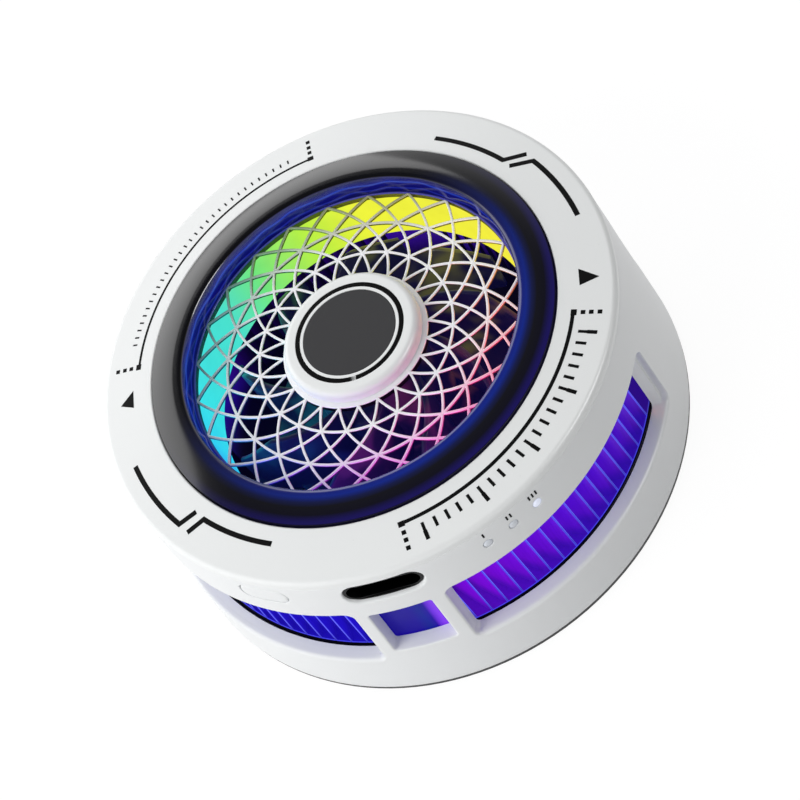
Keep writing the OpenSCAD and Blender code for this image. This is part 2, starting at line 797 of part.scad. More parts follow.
// Stacked sheets: slots are cut from one disc, which leaves the arms and their wide shoes
module stator_core() {
    slot_step = 360 / pole_n;
    mouth = slot_step / 2 - shoe_half;
    color([0.45, 0.46, 0.48]) translate([0, 0, z_stator]) linear_extrude(stator_h) difference() {
        circle(r = pole_r);
        circle(r = stator_in);
        for (i = [0:pole_n - 1]) rotate(slot_step * (i + 0.5)) stator_slot(slot_step / 2, mouth);
    }
}

// One slot between two arms, with its narrower mouth between two shoes
module stator_slot(half, mouth) {
    slot_in = stator_in + stator_ring;
    slot_out = pole_r - shoe_t;
    side_in = half - asin(pole_w / 2 / slot_in);
    side_out = half - asin(pole_w / 2 / slot_out);
    polygon(concat(
        arc([0, 0], slot_in, side_in, -side_in, 8),
        arc([0, 0], slot_out, -side_out, -mouth, 4),
        [polar(pole_r + eps, -mouth), polar(pole_r + eps, mouth)],
        arc([0, 0], slot_out, mouth, side_out, 4)
    ));
}

module stator_coils() {
    half = pole_w / 2 + coil_gap + coil_t;
    inner = stator_in + stator_ring + coil_gap;
    outer = sqrt(pow(pole_r - shoe_t - coil_gap, 2) - pow(half, 2));
    l = outer - inner;
    color([0.72, 0.38, 0.2]) for (i = [0:pole_n - 1]) at(360 / pole_n * i, inner, z_stator + stator_h / 2)
        difference() {
            bar(l, 2 * half, stator_h + 2 * (coil_gap + coil_t));
            translate([-eps, 0, 0]) bar(l + 2 * eps, pole_w + 2 * coil_gap, stator_h + 2 * coil_gap);
        }
}

module shaft() {
    color("silver") translate([0, 0, z_washer + run_gap])
        cylinder(d = shaft_d, h = z_hub_top - z_washer - run_gap);
}

module rotor_yoke() {
    h = z_crown - z_back;
    color([0.5, 0.5, 0.52]) translate([0, 0, z_back]) difference() {
        cylinder(r = rotor_yoke_out, h = h);
        translate([0, 0, -eps]) cylinder(r = rotor_yoke_out - rotor_yoke_t, h = h - rotor_yoke_t + eps);
        cylinder(r = shaft_r + side_gap, h = z_crown);
    }
}

module rotor_magnet() {
    color([0.2, 0.2, 0.21]) translate([0, 0, z_back + side_gap])
        tube(magnet_ring_in, magnet_ring_out, magnet_ring_h);
}

module impeller() {
    hub_r = fan_hub_d / 2;
    color([0.08, 0.09, 0.14]) union() {
        difference() {
            translate([0, 0, z_back]) union() {
                cylinder(r = hub_r, h = z_hub_top - z_back);
                cylinder(r = fan_r - back_inset, h = back_t);
            }
            translate([0, 0, z_back - eps])
                cylinder(r = rotor_yoke_out + press_gap, h = z_crown - z_back + eps);
            cylinder(r = shaft_r + press_gap, h = z_hub_top + eps);
        }
        translate([0, 0, z_back]) linear_extrude(z_blade_top - z_back)
            for (i = [0:blade_n - 1]) rotate(i * 360 / blade_n) blade(hub_r - blade_t / 2);
    }
}

// One blade: a curved strip from the hub to the tip, which trails
module blade(r_root) {
    n = 8;
    step = 0.02;
    function middle(t) = polar(r_root + (fan_r - r_root) * t, -blade_sweep * t);
    function edge(t, side) = let (u = middle(min(t + step, 1)) - middle(max(t - step, 0)))
        middle(t) + side * blade_t / 2 * [-u[1], u[0]] / norm(u);
    intersection() {
        circle(r = fan_r);
        polygon(concat([for (i = [0:n]) edge(i / n, -1)], [for (i = [n:-1:0]) edge(i / n, 1)]));
    }
}

module deck() {
    color([0.25, 0.25, 0.28]) difference() {
        union() {
            translate([0, 0, z_deck]) tube(deck_in, wall_in(z_boards) - fit_gap, deck_t);
            translate([0, 0, z_deck]) tube(ring_in, ring_out, deck_t + ring_h);
        }
        translate([0, 0, z_guard - guide_flange_t]) cylinder(r = seat_r, h = guard_t + guide_flange_t + eps);
        at(0, socket_back - run_gap, z_board_top - run_gap)
            translate([0, -socket_w / 2 - run_gap, 0])
                cube([socket_l, socket_w + 2 * run_gap, ring_h + eps]);
        lead_notch(z_deck - eps, deck_t + 2 * eps);
        ribbon_notch(z_deck - eps, deck_t + 2 * eps);
    }
}

module led_board() {
    color("white") translate([0, 0, z_boards]) tube(deck_in + fit_gap, ring_in - fit_gap, led_board_t);
}

module rgb_leds() {
    mid = (deck_in + ring_in) / 2;
    color([0.95, 0.95, 0.85]) for (i = [0:led_n - 1])
        at(360 / led_n * i, mid - led_w / 2, z_boards + led_board_t + led_h / 2) bar(led_w, led_w, led_h);
}

module main_board() {
    color([0.05, 0.3, 0.15]) translate([0, 0, z_boards])
        sector(board_in, board_out, board_t, -board_half, board_half);
}

// A controller, a choke and two capacitors
module board_parts() {
    color([0.15, 0.15, 0.16]) {
        board_part(controller_bearing, controller_w, controller_h);
        board_part(choke_bearing, choke_w, choke_h);
        for (b = capacitor_bearings) board_part(b, capacitor_w, capacitor_h);
    }
}

// A square part in the middle of the control board's width
module board_part(bearing, w, h) {
    mid = (board_in + board_out) / 2;
    at(bearing, mid - w / 2, z_board_top + h / 2) bar(w, w, h);
}

module indicator_leds() {
    h = z_pipes - z_board_top + pipe_d / 2;
    color([0.95, 0.95, 0.85]) for (b = pipe_bearings)
        at(b, pipe_seat - pipe_lip_t - fit_gap - indicator_l, z_board_top + h / 2)
            bar(indicator_l, indicator_w, h);
}

module light_pipes() {
    l = wall_out(z_pipes) - pipe_seat + pipe_lip_t;
    color([0.9, 0.95, 1]) for (b = pipe_bearings)
        at(b, pipe_seat - pipe_lip_t, z_pipes) rotate([0, 90, 0]) union() {
            cylinder(d = pipe_d + 2 * pipe_lip, h = pipe_lip_t);
            cylinder(d = pipe_d, h = l);
        }
}

module socket_shell() {
    color("silver") at(0, socket_back, z_socket) difference() {
        pill(socket_w, socket_h, socket_l);
        translate([-eps, 0, 0])
            pill(socket_w - 2 * socket_wall, socket_h - 2 * socket_wall, socket_l + 2 * eps);
    }
}

module socket_tongue() {
    core = 2 * (socket_wall + press_gap);
    color([0.08, 0.08, 0.09]) at(0, socket_back, z_socket) union() {
        pill(socket_w - core, socket_h - core, socket_block_l);
        bar(socket_l - tongue_inset, tongue_w, tongue_t);
    }
}

module tact_switch() {
    hole_w = plunger_w + 2 * run_gap;
    hole_h = plunger_h + 2 * run_gap;
    color([0.2, 0.2, 0.22]) at(button_bearing, switch_front - switch_l, 0) difference() {
        translate([0, -switch_w / 2, z_board_top]) cube([switch_l, switch_w, switch_h]);
        translate([switch_back_t, 0, z_socket]) bar(switch_l, hole_w, hole_h);
    }
}

module switch_plunger() {
    color([0.85, 0.85, 0.85]) at(button_bearing, button_back - plunger_l, z_socket)
        bar(plunger_l, plunger_w, plunger_h);
}

module mode_button() {
    color("white") intersection() {
        at(button_bearing, button_back, z_socket) union() {
            pill(button_flange_w, button_h, button_lip_t);
            pill(button_w, button_h, body_d / 2);
        }
        cylinder(r = wall_out(z_socket), h = z_bezel);
    }
}

// Flat lead: from the motor board, down to the heat sink's floor, along it and up to the control board
module fan_lead() {
    start = -(pole_r + side_gap);
    drop = -(motor_d / 2 + side_gap);
    up = ribbon_y;
    outline = [
        [start, z_motor], [start, z_motor + ribbon_t], [drop - ribbon_t, z_motor + ribbon_t],
        [drop - ribbon_t, z_fins + ribbon_t], [up, z_fins + ribbon_t], [up, z_boards],
        [up - ribbon_t, z_boards], [up - ribbon_t, z_fins], [drop, z_fins], [drop, z_motor]
    ];
    color([0.75, 0.75, 0.75]) translate([ribbon_x - ribbon_w / 2, 0, 0])
        rotate([90, 0, 90]) linear_extrude(ribbon_w) polygon(outline);
}

// Two round leads: from the module's edge, out under the heat sink and up to the control board
module module_leads() {
    corner = [lead_y + lead_bend, lead_z + lead_bend];
    path = concat(
        [[-module_w / 2 - fit_gap, lead_z]],
        arc(corner, lead_bend, -90, -180, 4),
        [[lead_y, z_boards]]
    );
    color([0.7, 0.1, 0.1]) for (x = lead_x) translate([x, 0, 0]) lead(path, lead_r);
}

module case_screws() {
    l = z_fins + boss_h - 2 * boss_end_t - pad_t - screw_head_h;
    color("silver") for (b = screw_bearings)
        at(b, screw_r, pad_t) screw(screw_d, screw_head_d, screw_head_h, l);
}

module motor_screws() {
    head_z = z_motor + motor_screw_head_h;
    l = motor_t + floor_t - 2 * side_gap;
    color("silver") for (b = motor_screw_bearings) at(b, motor_screw_r, head_z)
        mirror([0, 0, 1]) screw(motor_screw_d, motor_screw_head_d, motor_screw_head_h, l);
}

body_shell();
front_bezel();
lens_ring();
fan_guard();
hub_cap();
hub_trim_ring();
hub_disc();
light_guide();
front_window();
base_cover();
grip_ring();
thermal_pad();
cold_plate();
magnets();
magnet_yoke();
module_cold_face();
module_legs();
module_hot_face();
insulation_ring();
heat_sink();
motor_base();
thrust_washer();
bearing();
motor_board();
stator_core();
stator_coils();
shaft();
rotor_yoke();
rotor_magnet();
impeller();
deck();
led_board();
rgb_leds();
main_board();
board_parts();
indicator_leds();
light_pipes();
socket_shell();
socket_tongue();
tact_switch();
switch_plunger();
mode_button();
fan_lead();
module_leads();
case_screws();
motor_screws();
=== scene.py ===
"""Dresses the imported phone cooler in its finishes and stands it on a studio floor."""
import math

import bmesh
import bpy
from bpy.props import FloatProperty, FloatVectorProperty, IntProperty, PointerProperty
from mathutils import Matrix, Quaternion, Vector
from mathutils.geometry import delaunay_2d_cdt


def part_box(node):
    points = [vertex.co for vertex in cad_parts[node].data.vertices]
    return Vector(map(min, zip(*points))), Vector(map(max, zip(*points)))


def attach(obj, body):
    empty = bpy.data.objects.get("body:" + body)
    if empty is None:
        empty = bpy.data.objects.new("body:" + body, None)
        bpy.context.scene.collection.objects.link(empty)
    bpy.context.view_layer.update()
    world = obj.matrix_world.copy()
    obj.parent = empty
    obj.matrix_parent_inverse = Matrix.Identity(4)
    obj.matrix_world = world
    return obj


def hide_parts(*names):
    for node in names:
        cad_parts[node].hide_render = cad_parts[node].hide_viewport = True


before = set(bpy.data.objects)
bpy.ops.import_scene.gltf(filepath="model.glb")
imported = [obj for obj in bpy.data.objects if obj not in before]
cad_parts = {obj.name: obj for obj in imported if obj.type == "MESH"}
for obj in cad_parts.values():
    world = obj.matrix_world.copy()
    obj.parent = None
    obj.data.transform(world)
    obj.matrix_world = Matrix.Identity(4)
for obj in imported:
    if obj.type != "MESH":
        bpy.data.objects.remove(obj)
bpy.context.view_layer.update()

bl_info = {
    "name": "Phone cooler",
    "version": (1, 0, 0),
    "blender": (4, 5, 0),
    "location": "3D View > Sidebar > Cooler",
    "description": "Dresses a round phone cooling fan in its finishes",
    "category": "Object",
}

# A millimetre in metres, the merging distance, the least bend of a sharp edge and the steps of a turn
MM = 0.001
WELD = 0.0005 * MM
SHARP = math.radians(34)
TURN_STEPS = 240


def corners(node_name):
    """Lowest and highest corner of a CAD node, in millimetres."""
    low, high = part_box(node_name)
    return Vector(low) / MM, Vector(high) / MM


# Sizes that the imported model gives, in millimetres
WALL_LOW, WALL_HIGH = corners("body_shell")
BEZEL_HIGH = corners("front_bezel")[1]
LENS_LOW, LENS_HIGH = corners("lens_ring")
GUARD_LOW, GUARD_HIGH = corners("fan_guard")
GUIDE_LOW, GUIDE_HIGH = corners("light_guide")
CAP_LOW, CAP_HIGH = corners("hub_cap")
TRIM_HIGH = corners("hub_trim_ring")[1]
DISC_LOW, DISC_HIGH = corners("hub_disc")
SINK_LOW, SINK_HIGH = corners("heat_sink")
FAN_LOW, FAN_HIGH = corners("impeller")
WINDOW_LOW, WINDOW_HIGH = corners("front_window")
SOCKET_LOW, SOCKET_HIGH = corners("socket_shell")
PIPES_LOW, PIPES_HIGH = corners("light_pipes")
BUTTON_LOW, BUTTON_HIGH = corners("mode_button")
GRIP_LOW, GRIP_HIGH = corners("grip_ring")
PAD_LOW, PAD_HIGH = corners("thermal_pad")
FOOT_R = WALL_HIGH.x
SEAM_R = BEZEL_HIGH.x
SOCKET_Z = (SOCKET_LOW.z + SOCKET_HIGH.z) / 2
PIPE_Z = (PIPES_LOW.z + PIPES_HIGH.z) / 2


def linear(code):
    """Linear colour, with alpha, of an sRGB hex value."""
    parts = [int(code[i:i + 2], 16) / 255 for i in (1, 3, 5)]
    return tuple(c / 12.92 if c <= 0.04045 else ((c + 0.055) / 1.055) ** 2.4 for c in parts) + (1.0,)


def length(name, description, default):
    """A length property whose default is given in millimetres."""
    return FloatProperty(name=name, description=description, default=default * MM, unit="LENGTH", precision=5)


def angle(name, description, default):
    """An angle property whose default is given in degrees."""
    return FloatProperty(name=name, description=description, default=math.radians(default), unit="ROTATION")


def colour(name, description, default):
    """A colour property whose default is given as an sRGB hex value."""
    return FloatVectorProperty(name=name, description=description, default=linear(default), size=4,
                               subtype="COLOR", min=0, max=1)


class CoolerWall(bpy.types.PropertyGroup):
    """Sizes of the side wall and its openings"""
    thickness: length("Thickness", "Thickness of the side wall", 1.8)
    outlet_middle: angle("Outlet middle", "Bearing of an outlet's middle from the socket", 40.7)
    outlet_span: angle("Outlet span", "Angle that an outlet's opening takes", 58)
    outlet_sill: length("Outlet sill", "Height of an outlet's sill above the base", 7.7)
    frame_near: angle("Near frame", "Width of the frame at the outlet's near end", 2.4)
    frame_far: angle("Far frame", "Width of the stepped frame at the outlet's far end", 5.5)
    frame_low: length("Low frame", "Height of the rounded lip under the sill", 0.5)
    frame_lip: length("Lip depth", "Depth over which an outlet's lip rounds into the wall", 0.45)
    frame_step: length("Step depth", "Depth of the ledge at the outlet's far end", 0.85)
    window_span: angle("Window span", "Angle that the small front window takes", 13.2)
    window_low: length("Window foot", "Height of the small window's lower edge", 9.4)
    window_high: length("Window head", "Height of the small window's upper edge", 17.6)
    edge: length("Edge rounding", "Rounding of the small window's edge", 0.22)
    foot_edge: length("Foot rounding", "Rounding of the wall's lower edge", 0.12)
    fit: length("Fit gap", "Gap round the socket, the button and the indicator lights", 0.12)


class CoolerFace(bpy.types.PropertyGroup):
    """Sizes of the bezel, the lit ring and the hub"""
    bezel_inner: length("Bezel inner radius", "Radius of the bezel's inner edge", 24.7)
    bezel_rim: length("Rim rounding", "Rounding of the bezel's outer rim", 1.2)
    rim_drop: length("Rim drop", "How far the rim's top lies under the bezel's inner edge", 0.5)
    lens_inner: length("Lens inner radius", "Radius of the lit ring's inner wall", 20.25)
    lens_outer: length("Lens outer radius", "Radius of the lit ring's outer wall", 24.55)
    lens_lean: length("Lens lean", "How far the lit ring's inner wall leans out at its top", 0.2)
    lens_crest: length("Lens crest radius", "Radius of the lit ring's highest line", 21.6)
    guide_inner: length("Light guide inner radius", "Radius of the lit band under the guard", 20.1)
    guide_wall: length("Light guide wall", "Thickness of the lit band", 0.8)
    trim_width: length("Trim width", "Width of the black trim round the hub's disc", 0.55)
    trim_gap: angle("Trim gap", "Angle of the gap in the black trim", 6)


class CoolerGuard(bpy.types.PropertyGroup):
    """Sizes of the finger guard"""
    bars: IntProperty(name="Arms", description="Arms of each family round the guard", default=24)
    bar_width: length("Bar width", "Width of a bar seen from above", 0.3)
    bar_edge: length("Bar rounding", "Rounding of a bar's edges", 0.07)
    bar_depth: length("Bar depth", "Depth of a bar under the guard's face", 0.4)
    first_row: length("First row", "Radius at which the arms leave the hub plate", 8.9)
    second_row: length("Second row", "Radius at which the arms first cross", 11.9)
    row_step: length("Row step", "Distance between the later crossings", 2.05)
    turn: angle("Turn", "Turn of the whole lattice about the axis", -2)


class CoolerFan(bpy.types.PropertyGroup):
    """Sizes of the fan and of the fins round it"""
    blades: IntProperty(name="Blades", description="Number of fan blades", default=9)
    sweep: angle("Sweep", "How far a blade's tip trails its root", 42)
    blade_thickness: length("Blade thickness", "Thickness of a blade at its root", 0.8)
    tip_clip: length("Tip clip", "How far a blade's top falls away towards its tip", 5.0)
    hub_radius: length("Hub radius", "Radius of the fan's hub", 7.8)
    hub_top: length("Hub top", "Height of the fan hub's top", 17.3)
    plate_radius: length("Back plate radius", "Radius of the fan's back plate", 15.5)
    plate_thickness: length("Back plate thickness", "Thickness of the fan's back plate", 0.8)
    fins: IntProperty(name="Fins per outlet", description="Number of fins behind each outlet", default=17)
    fin_pitch: angle("Fin pitch", "Angle from one fin to the next", 3.75)
    fin_lean: angle("Fin lean", "Lean of the fins from straight outwards", 30)
    fin_gap: length("Fin gap", "Gap between the fins' outer edges and the wall's back", 0.5)
    fin_inner: length("Fin inner radius", "Radius of the fins' inner ends", 21.35)
    fin_thickness: length("Fin thickness", "Thickness of a fin", 0.4)
    fin_tip: length("Fin tip", "Thickness of a fin's outer edge", 0.13)
    fin_taper: length("Fin taper", "Length over which a fin thins to its outer edge", 0.8)
    sink_floor: length("Sink floor", "Thickness of the heat sink's floor", 1.8)


class CoolerColours(bpy.types.PropertyGroup):
    """Colours of the main finishes"""
    shell: colour("Shell", "Side wall and button", "#e9ebec")
    bezel: colour("Bezel", "Bezel and hub boss", "#eceeee")
    guard: colour("Guard", "Finger guard", "#f1f1f4")
    ink: colour("Ink", "Printed marks on the bezel", "#0b0b0c")
    lens: colour("Lens", "Smoked lit ring", "#07070d")
    disc: colour("Disc", "Disc in the middle of the hub", "#3b3b3d")
    fan: colour("Fan", "Fan blades", "#1c1e34")


class CoolerStage(bpy.types.PropertyGroup):
    """Camera and light of the studio"""
    azimuth: angle("Azimuth", "Bearing of the camera from the socket", 25.3)
    elevation: angle("Elevation", "Height of the camera over the horizon", 52.57)
    roll: angle("Roll", "Turn of the camera about its line of sight", -36.84)
    distance: length("Distance", "Distance from the camera to its target", 225.6)
    lens: FloatProperty(name="Focal length", description="Focal length of the camera", default=90,
                        subtype="DISTANCE_CAMERA")
    sky: FloatProperty(name="Sky", description="Strength of the even light all round", default=0.5)
    key: FloatProperty(name="Key lamp", description="Power of the soft lamp at the front left", default=2.15,
                       unit="POWER")
    edge: FloatProperty(name="Edge lamp", description="Power of the lamp that only shows in glossy edges",
                        default=1.6, unit="POWER")
    back: FloatProperty(name="Back lamp", description="Power of the soft lamp behind the object", default=1.3,
                        unit="POWER")


GROUPS = {
    "cooler_wall": CoolerWall,
    "cooler_face": CoolerFace,
    "cooler_guard": CoolerGuard,
    "cooler_fan": CoolerFan,
    "cooler_colours": CoolerColours,
    "cooler_stage": CoolerStage,
}


def polar(bearing, radius, height):
    """Point at a bearing in degrees from the socket, counter-clockwise from above."""
    turn = math.radians(bearing - 90)
    return Vector((radius * math.cos(turn), radius * math.sin(turn), height))


def joined(*shells):
    """One shell, as points and faces, from several."""
    points = []
    faces = []
    for shell_points, shell_faces in shells:
        start = len(points)
        points.extend(shell_points)
        faces.extend(tuple(start + i for i in face) for face in shell_faces)
    return points, faces


def solid(name, shell):
    """Mesh in metres of a shell in millimetres, its doubles merged and its faces turned outwards."""
    mesh = bpy.data.meshes.new(name)
    mesh.from_pydata([Vector(p) * MM for p in shell[0]], [], shell[1])
    work = bmesh.new()
    work.from_mesh(mesh)
    bmesh.ops.remove_doubles(work, verts=work.verts, dist=WELD)
    bmesh.ops.dissolve_degenerate(work, edges=work.edges, dist=WELD)
    bmesh.ops.recalc_face_normals(work, faces=work.faces)
    work.to_mesh(mesh)
    work.free()
    return mesh


def merged(name, *meshes):
    """One mesh from several meshes."""
    work = bmesh.new()
    for mesh in meshes:
        work.from_mesh(mesh)
    whole = bpy.data.meshes.new(name)
    work.to_mesh(whole)
    work.free()
    return whole


def place(name, shape, finish_name, body, slot, *nodes):
    """Puts a shell or a mesh in the scene and ties it to its body and the nodes it stands for; the slot is not
    used.
    """
    mesh = shape if isinstance(shape, bpy.types.Mesh) else solid(name, shape)
    mesh.materials.clear()
    mesh.materials.append(finish(finish_name))
    mesh.polygons.foreach_set("material_index", [0] * len(mesh.polygons))
    mesh.shade_smooth()
    mesh.set_sharp_from_angle(angle=SHARP)
    piece = bpy.data.objects.new(name, mesh)
    bpy.context.scene.collection.objects.link(piece)
    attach(piece, body)
    if nodes:
        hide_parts(*nodes)
    return piece


# Most of a side that a rounded corner may take, and how far past the round its tight loops lie
CORNER_SHARE = 0.48
LOOP_SHARE = 0.15


def rounded(outline, steps=5):
    """Closed outline whose corners, each given as x, y and radius, are rounded between two tight loops."""
    points = []
    count = len(outline)
    for i, (x, y, radius) in enumerate(outline):
        corner = Vector((x, y))
        if radius <= 0:
            points.append(corner)
            continue
        before = Vector(outline[i - 1][:2]) - corner
        after = Vector(outline[(i + 1) % count][:2]) - corner
        half = before.angle(after) / 2
        reach = min(radius / math.tan(half), CORNER_SHARE * before.length, CORNER_SHARE * after.length)
        start = corner + before.normalized() * reach
        end = corner + after.normalized() * reach
        middle = (before.normalized() + after.normalized()).normalized()
        centre = corner + middle * (reach / math.cos(half))
        size = (start - centre).length
        points.append(start + before.normalized() * LOOP_SHARE * reach)
        for k in range(steps + 1):
            way = start.lerp(end, k / steps) - centre
            points.append(centre + way.normalized() * size)
        points.append(end + after.normalized() * LOOP_SHARE * reach)
    return [(p.x, p.y) for p in points]


def lathe(outline, first=0.0, sweep=360.0, steps=TURN_STEPS):
    """Closed outline of radius and height, turned about the axis by a sweep of bearings."""
    whole = sweep >= 360
    rows = steps if whole else steps + 1
    width = len(outline)
    points = [polar(first + sweep * i / steps, r, z) for i in range(rows) for r, z in outline]
    faces = []
    for i in range(steps):
        here = i * width
        there = (i + 1) % rows * width
        for j in range(width):
            k = (j + 1) % width
            faces.append((here + j, here + k, there + k, there + j))
    if not whole:
        faces.append(tuple(range(width)))
        faces.append(tuple(range((rows - 1) * width, rows * width)))
    return points, faces


def loft(rings, closed_ends=True):
    """Shell through rings of points that all have the same count."""
    width = len(rings[0])
    points = [p for ring in rings for p in ring]
    faces = []
    for i in range(len(rings) - 1):
        for j in range(width):
            k = (j + 1) % width
            faces.append((i * width + j, i * width + k, (i + 1) * width + k, (i + 1) * width + j))
    if closed_ends:
        faces.append(tuple(range(width)))
        faces.append(tuple(range((len(rings) - 1) * width, len(rings) * width)))
    return points, faces


def node(tree, kind, inputs=None, stops=None, **settings):
    """Adds a node, sets its fields and its ramp, and fills its inputs with values or links."""
    made = tree.nodes.new(kind)
    for field, value in settings.items():
        setattr(made, field, value)
    for socket, value in (inputs or {}).items():
        if isinstance(value, bpy.types.NodeSocket):
            tree.links.new(value, made.inputs[socket])
        else:
            made.inputs[socket].default_value = value
    if stops:
        elements = made.color_ramp.elements
        elements.remove(elements[1])
        elements[0].position, elements[0].color = stops[0][0], linear(stops[0][1])
        for position, code in stops[1:]:
            elements.new(position).color = linear(code)
    return made


def shader(name, **values):
    """New material with a surface shader; values are the shader's own sockets, by name."""
    material = bpy.data.materials.new(name)
    material.use_nodes = True
    tree = material.node_tree
    tree.nodes.clear()
    surface = node(tree, "ShaderNodeBsdfPrincipled", {k.replace("_", " "): v for k, v in values.items()})
    node(tree, "ShaderNodeOutputMaterial", {"Surface": surface.outputs[0]})
    spot = node(tree, "ShaderNodeTexCoord").outputs["Object"]
    return material, tree, surface, spot


def grained(tree, surface, mottle, grain, tint, roughness, depth, darkest, spread, strength):
    """Gives a shader a mottled tint, and the gloss and the dents of a grain."""
    tone = node(tree, "ShaderNodeMix", {"Factor": mottle, "A": Vector(tint) * darkest, "B": tint},
                data_type="RGBA")
    gloss = node(tree, "ShaderNodeMapRange", {"Value": grain, "To Min": roughness - spread,
                                              "To Max": roughness + spread})
    dents = node(tree, "ShaderNodeBump", {"Height": grain, "Distance": depth * MM, "Strength": strength})
    tree.links.new(tone.outputs[2], surface.inputs["Base Color"])
    tree.links.new(gloss.outputs[0], surface.inputs["Roughness"])
    tree.links.new(dents.outputs[0], surface.inputs["Normal"])


# Width of the flow marks in a moulded surface
FLOW_WIDTH = 9


def moulded(name, code, roughness, grain, depth, **values):
    """Moulded surface: an even tint, from the panel or a hex value, with a fine grain and a faint mottle."""
    tint = linear(code) if code.startswith("#") else getattr(bpy.context.scene.cooler_colours, code)
    material, tree, surface, spot = shader(name, **values)
    flow = node(tree, "ShaderNodeTexNoise", {"Vector": spot, "Scale": 1 / (FLOW_WIDTH * MM), "Detail": 2.0})
    fine = node(tree, "ShaderNodeTexNoise", {"Vector": spot, "Scale": 1 / (grain * MM), "Detail": 3.0})
    grained(tree, surface, flow.outputs["Fac"], fine.outputs["Fac"], tint, roughness, depth,
            darkest=0.975, spread=0.05, strength=0.6)
    return material


def metal(name, code, roughness, spacing, depth):
    """Worked metal: fine tool lines round the axis in an even tint."""
    material, tree, surface, spot = shader(name, Metallic=1.0)
    flat = node(tree, "ShaderNodeVectorMath", {0: spot, 1: (1, 1, 0)}, operation="MULTIPLY")
    reach = node(tree, "ShaderNodeVectorMath", {0: flat.outputs[0]}, operation="LENGTH")
    lines = node(tree, "ShaderNodeTexNoise", {"W": reach.outputs["Value"], "Scale": 1 / (spacing * MM),
                                              "Detail": 1.0}, noise_dimensions="1D").outputs["Fac"]
    grained(tree, surface, lines, lines, linear(code), roughness, depth, darkest=0.9, spread=0.06,
            strength=0.5)
    return material


# Moulded finishes: tint, roughness, grain width and depth in millimetres, and other values of the shader
MOULDED = {
    # Satin ABS: soft broad highlights, with a grain too fine to see but for the sheen
    "white_abs": ("shell", 0.36, 0.35, 0.004, {"IOR": 1.53}),
    # ABS, smoother than the wall: tighter highlights along the rounded rim
    "bezel_abs": ("bezel", 0.3, 0.45, 0.003, {"IOR": 1.53}),
    # Pad-printed ink: a dense matt black film
    "printed_ink": ("ink", 0.5, 0.2, 0.002, {"IOR": 1.5, "Specular_IOR_Level": 0.1}),
    # Plastic with a fine satin texture: an even dark grey without hard highlights
    "satin_disc": ("disc", 0.55, 0.18, 0.006, {"IOR": 1.5, "Specular_IOR_Level": 0.2}),
    # Polished black ABS: near black with crisp small highlights
    "gloss_black": ("#0a0a0b", 0.18, 0.5, 0.001, {"IOR": 1.53, "Specular_IOR_Level": 0.25}),
    # Frosted clear acrylic: pale and smooth
    "clear_acrylic": ("#dde2ea", 0.22, 0.3, 0.003, {"IOR": 1.49}),
    # Frosted clear acrylic with its lamp on: a plain pale glow
    "lit_acrylic": ("#e6ecff", 0.22, 0.3, 0.003,
                    {"IOR": 1.49, "Emission_Color": linear("#eef2ff"), "Emission_Strength": 0.25}),
    # Black nylon: matt, with a grain twice as deep as the wall's
    "black_nylon": ("#121214", 0.5, 0.4, 0.008, {"IOR": 1.53}),
    # Grey nylon for inner frames: matt and even
    "grey_nylon": ("#2b2c30", 0.5, 0.4, 0.006, {"IOR": 1.53}),
    # Silicone rubber: dull dark grey with a soft grain
    "moulded_silicone": ("#1c1c1e", 0.68, 0.3, 0.01, {"IOR": 1.41}),
    # Filled silicone sheet: chalky grey-blue
    "filled_silicone": ("#8b9198", 0.75, 0.5, 0.012, {"IOR": 1.41}),
    # Closed-cell foam: dull, with dents about half a millimetre across
    "closed_cell_foam": ("#24262b", 0.85, 0.5, 0.05, {"IOR": 1.4}),
    # Acetal: waxy off-white
    "acetal": ("#d9d6cc", 0.4, 0.5, 0.003, {"IOR": 1.48}),
    # Sintered alumina: white and slightly chalky
    "sintered_alumina": ("#e4e2da", 0.6, 0.15, 0.004, {"IOR": 1.76}),
    # Black solder mask: a glossy film, faintly uneven
    "solder_mask": ("#0d1512", 0.3, 0.5, 0.006, {"IOR": 1.5}),
    # Extruded red vinyl: smooth, a little waxy
    "red_vinyl": ("#8f1f1c", 0.42, 0.6, 0.003, {"IOR": 1.52}),
    # Extruded black vinyl: smooth, a little waxy
    "black_vinyl": ("#0e0e10", 0.42, 0.6, 0.003, {"IOR": 1.52}),
    # Pressed ferrite: dark grey with a dusty grain
    "pressed_ferrite": ("#2a2b2d", 0.62, 0.12, 0.006, {"IOR": 2.0}),
    # Lamp package: clean white plastic
    "lamp_plastic": ("#eceae0", 0.35, 0.3, 0.002, {"IOR": 1.53}),
}

# Metal finishes: tint, roughness, and the spacing and depth of the tool lines in millimetres
METALS = {
    # Turned aluminium: pale with fine rings
    "turned_aluminium": ("#c9cccf", 0.32, 0.2, 0.003),
    # Nickel plating: bright and slightly warm
    "nickel_plating": ("#c2bfb8", 0.2, 0.6, 0.001),
    # Ground steel: mid grey with fine lines
    "mild_steel": ("#8e9093", 0.35, 0.3, 0.002),
    # Black-nickel plated steel: dark, with soft highlights
    "dark_plated_steel": ("#1a1a1c", 0.4, 0.5, 0.001),
    # Sintered bronze: warm brown and dull
    "porous_bronze": ("#9c7446", 0.5, 0.12, 0.006),
    # Enamelled copper wire: orange-brown with a soft shine
    "enamelled_copper": ("#b4693a", 0.3, 0.3, 0.01),
    # Cast thermoelectric alloy: dull grey
    "thermoelectric_alloy": ("#77787d", 0.45, 0.15, 0.004),
}

# Makers of the other finishes by name, and the finishes made so far
FINISHES = {}
MADE = {}


def finish(name):
    """The named finish of this script, made when it is first asked for."""
    if name not in MADE:
        if name in MOULDED:
            *sizes, values = MOULDED[name]
            MADE[name] = moulded(name, *sizes, **values)
        elif name in METALS:
            MADE[name] = metal(name, *METALS[name])
        else:
            MADE[name] = FINISHES[name](name)
    return MADE[name]


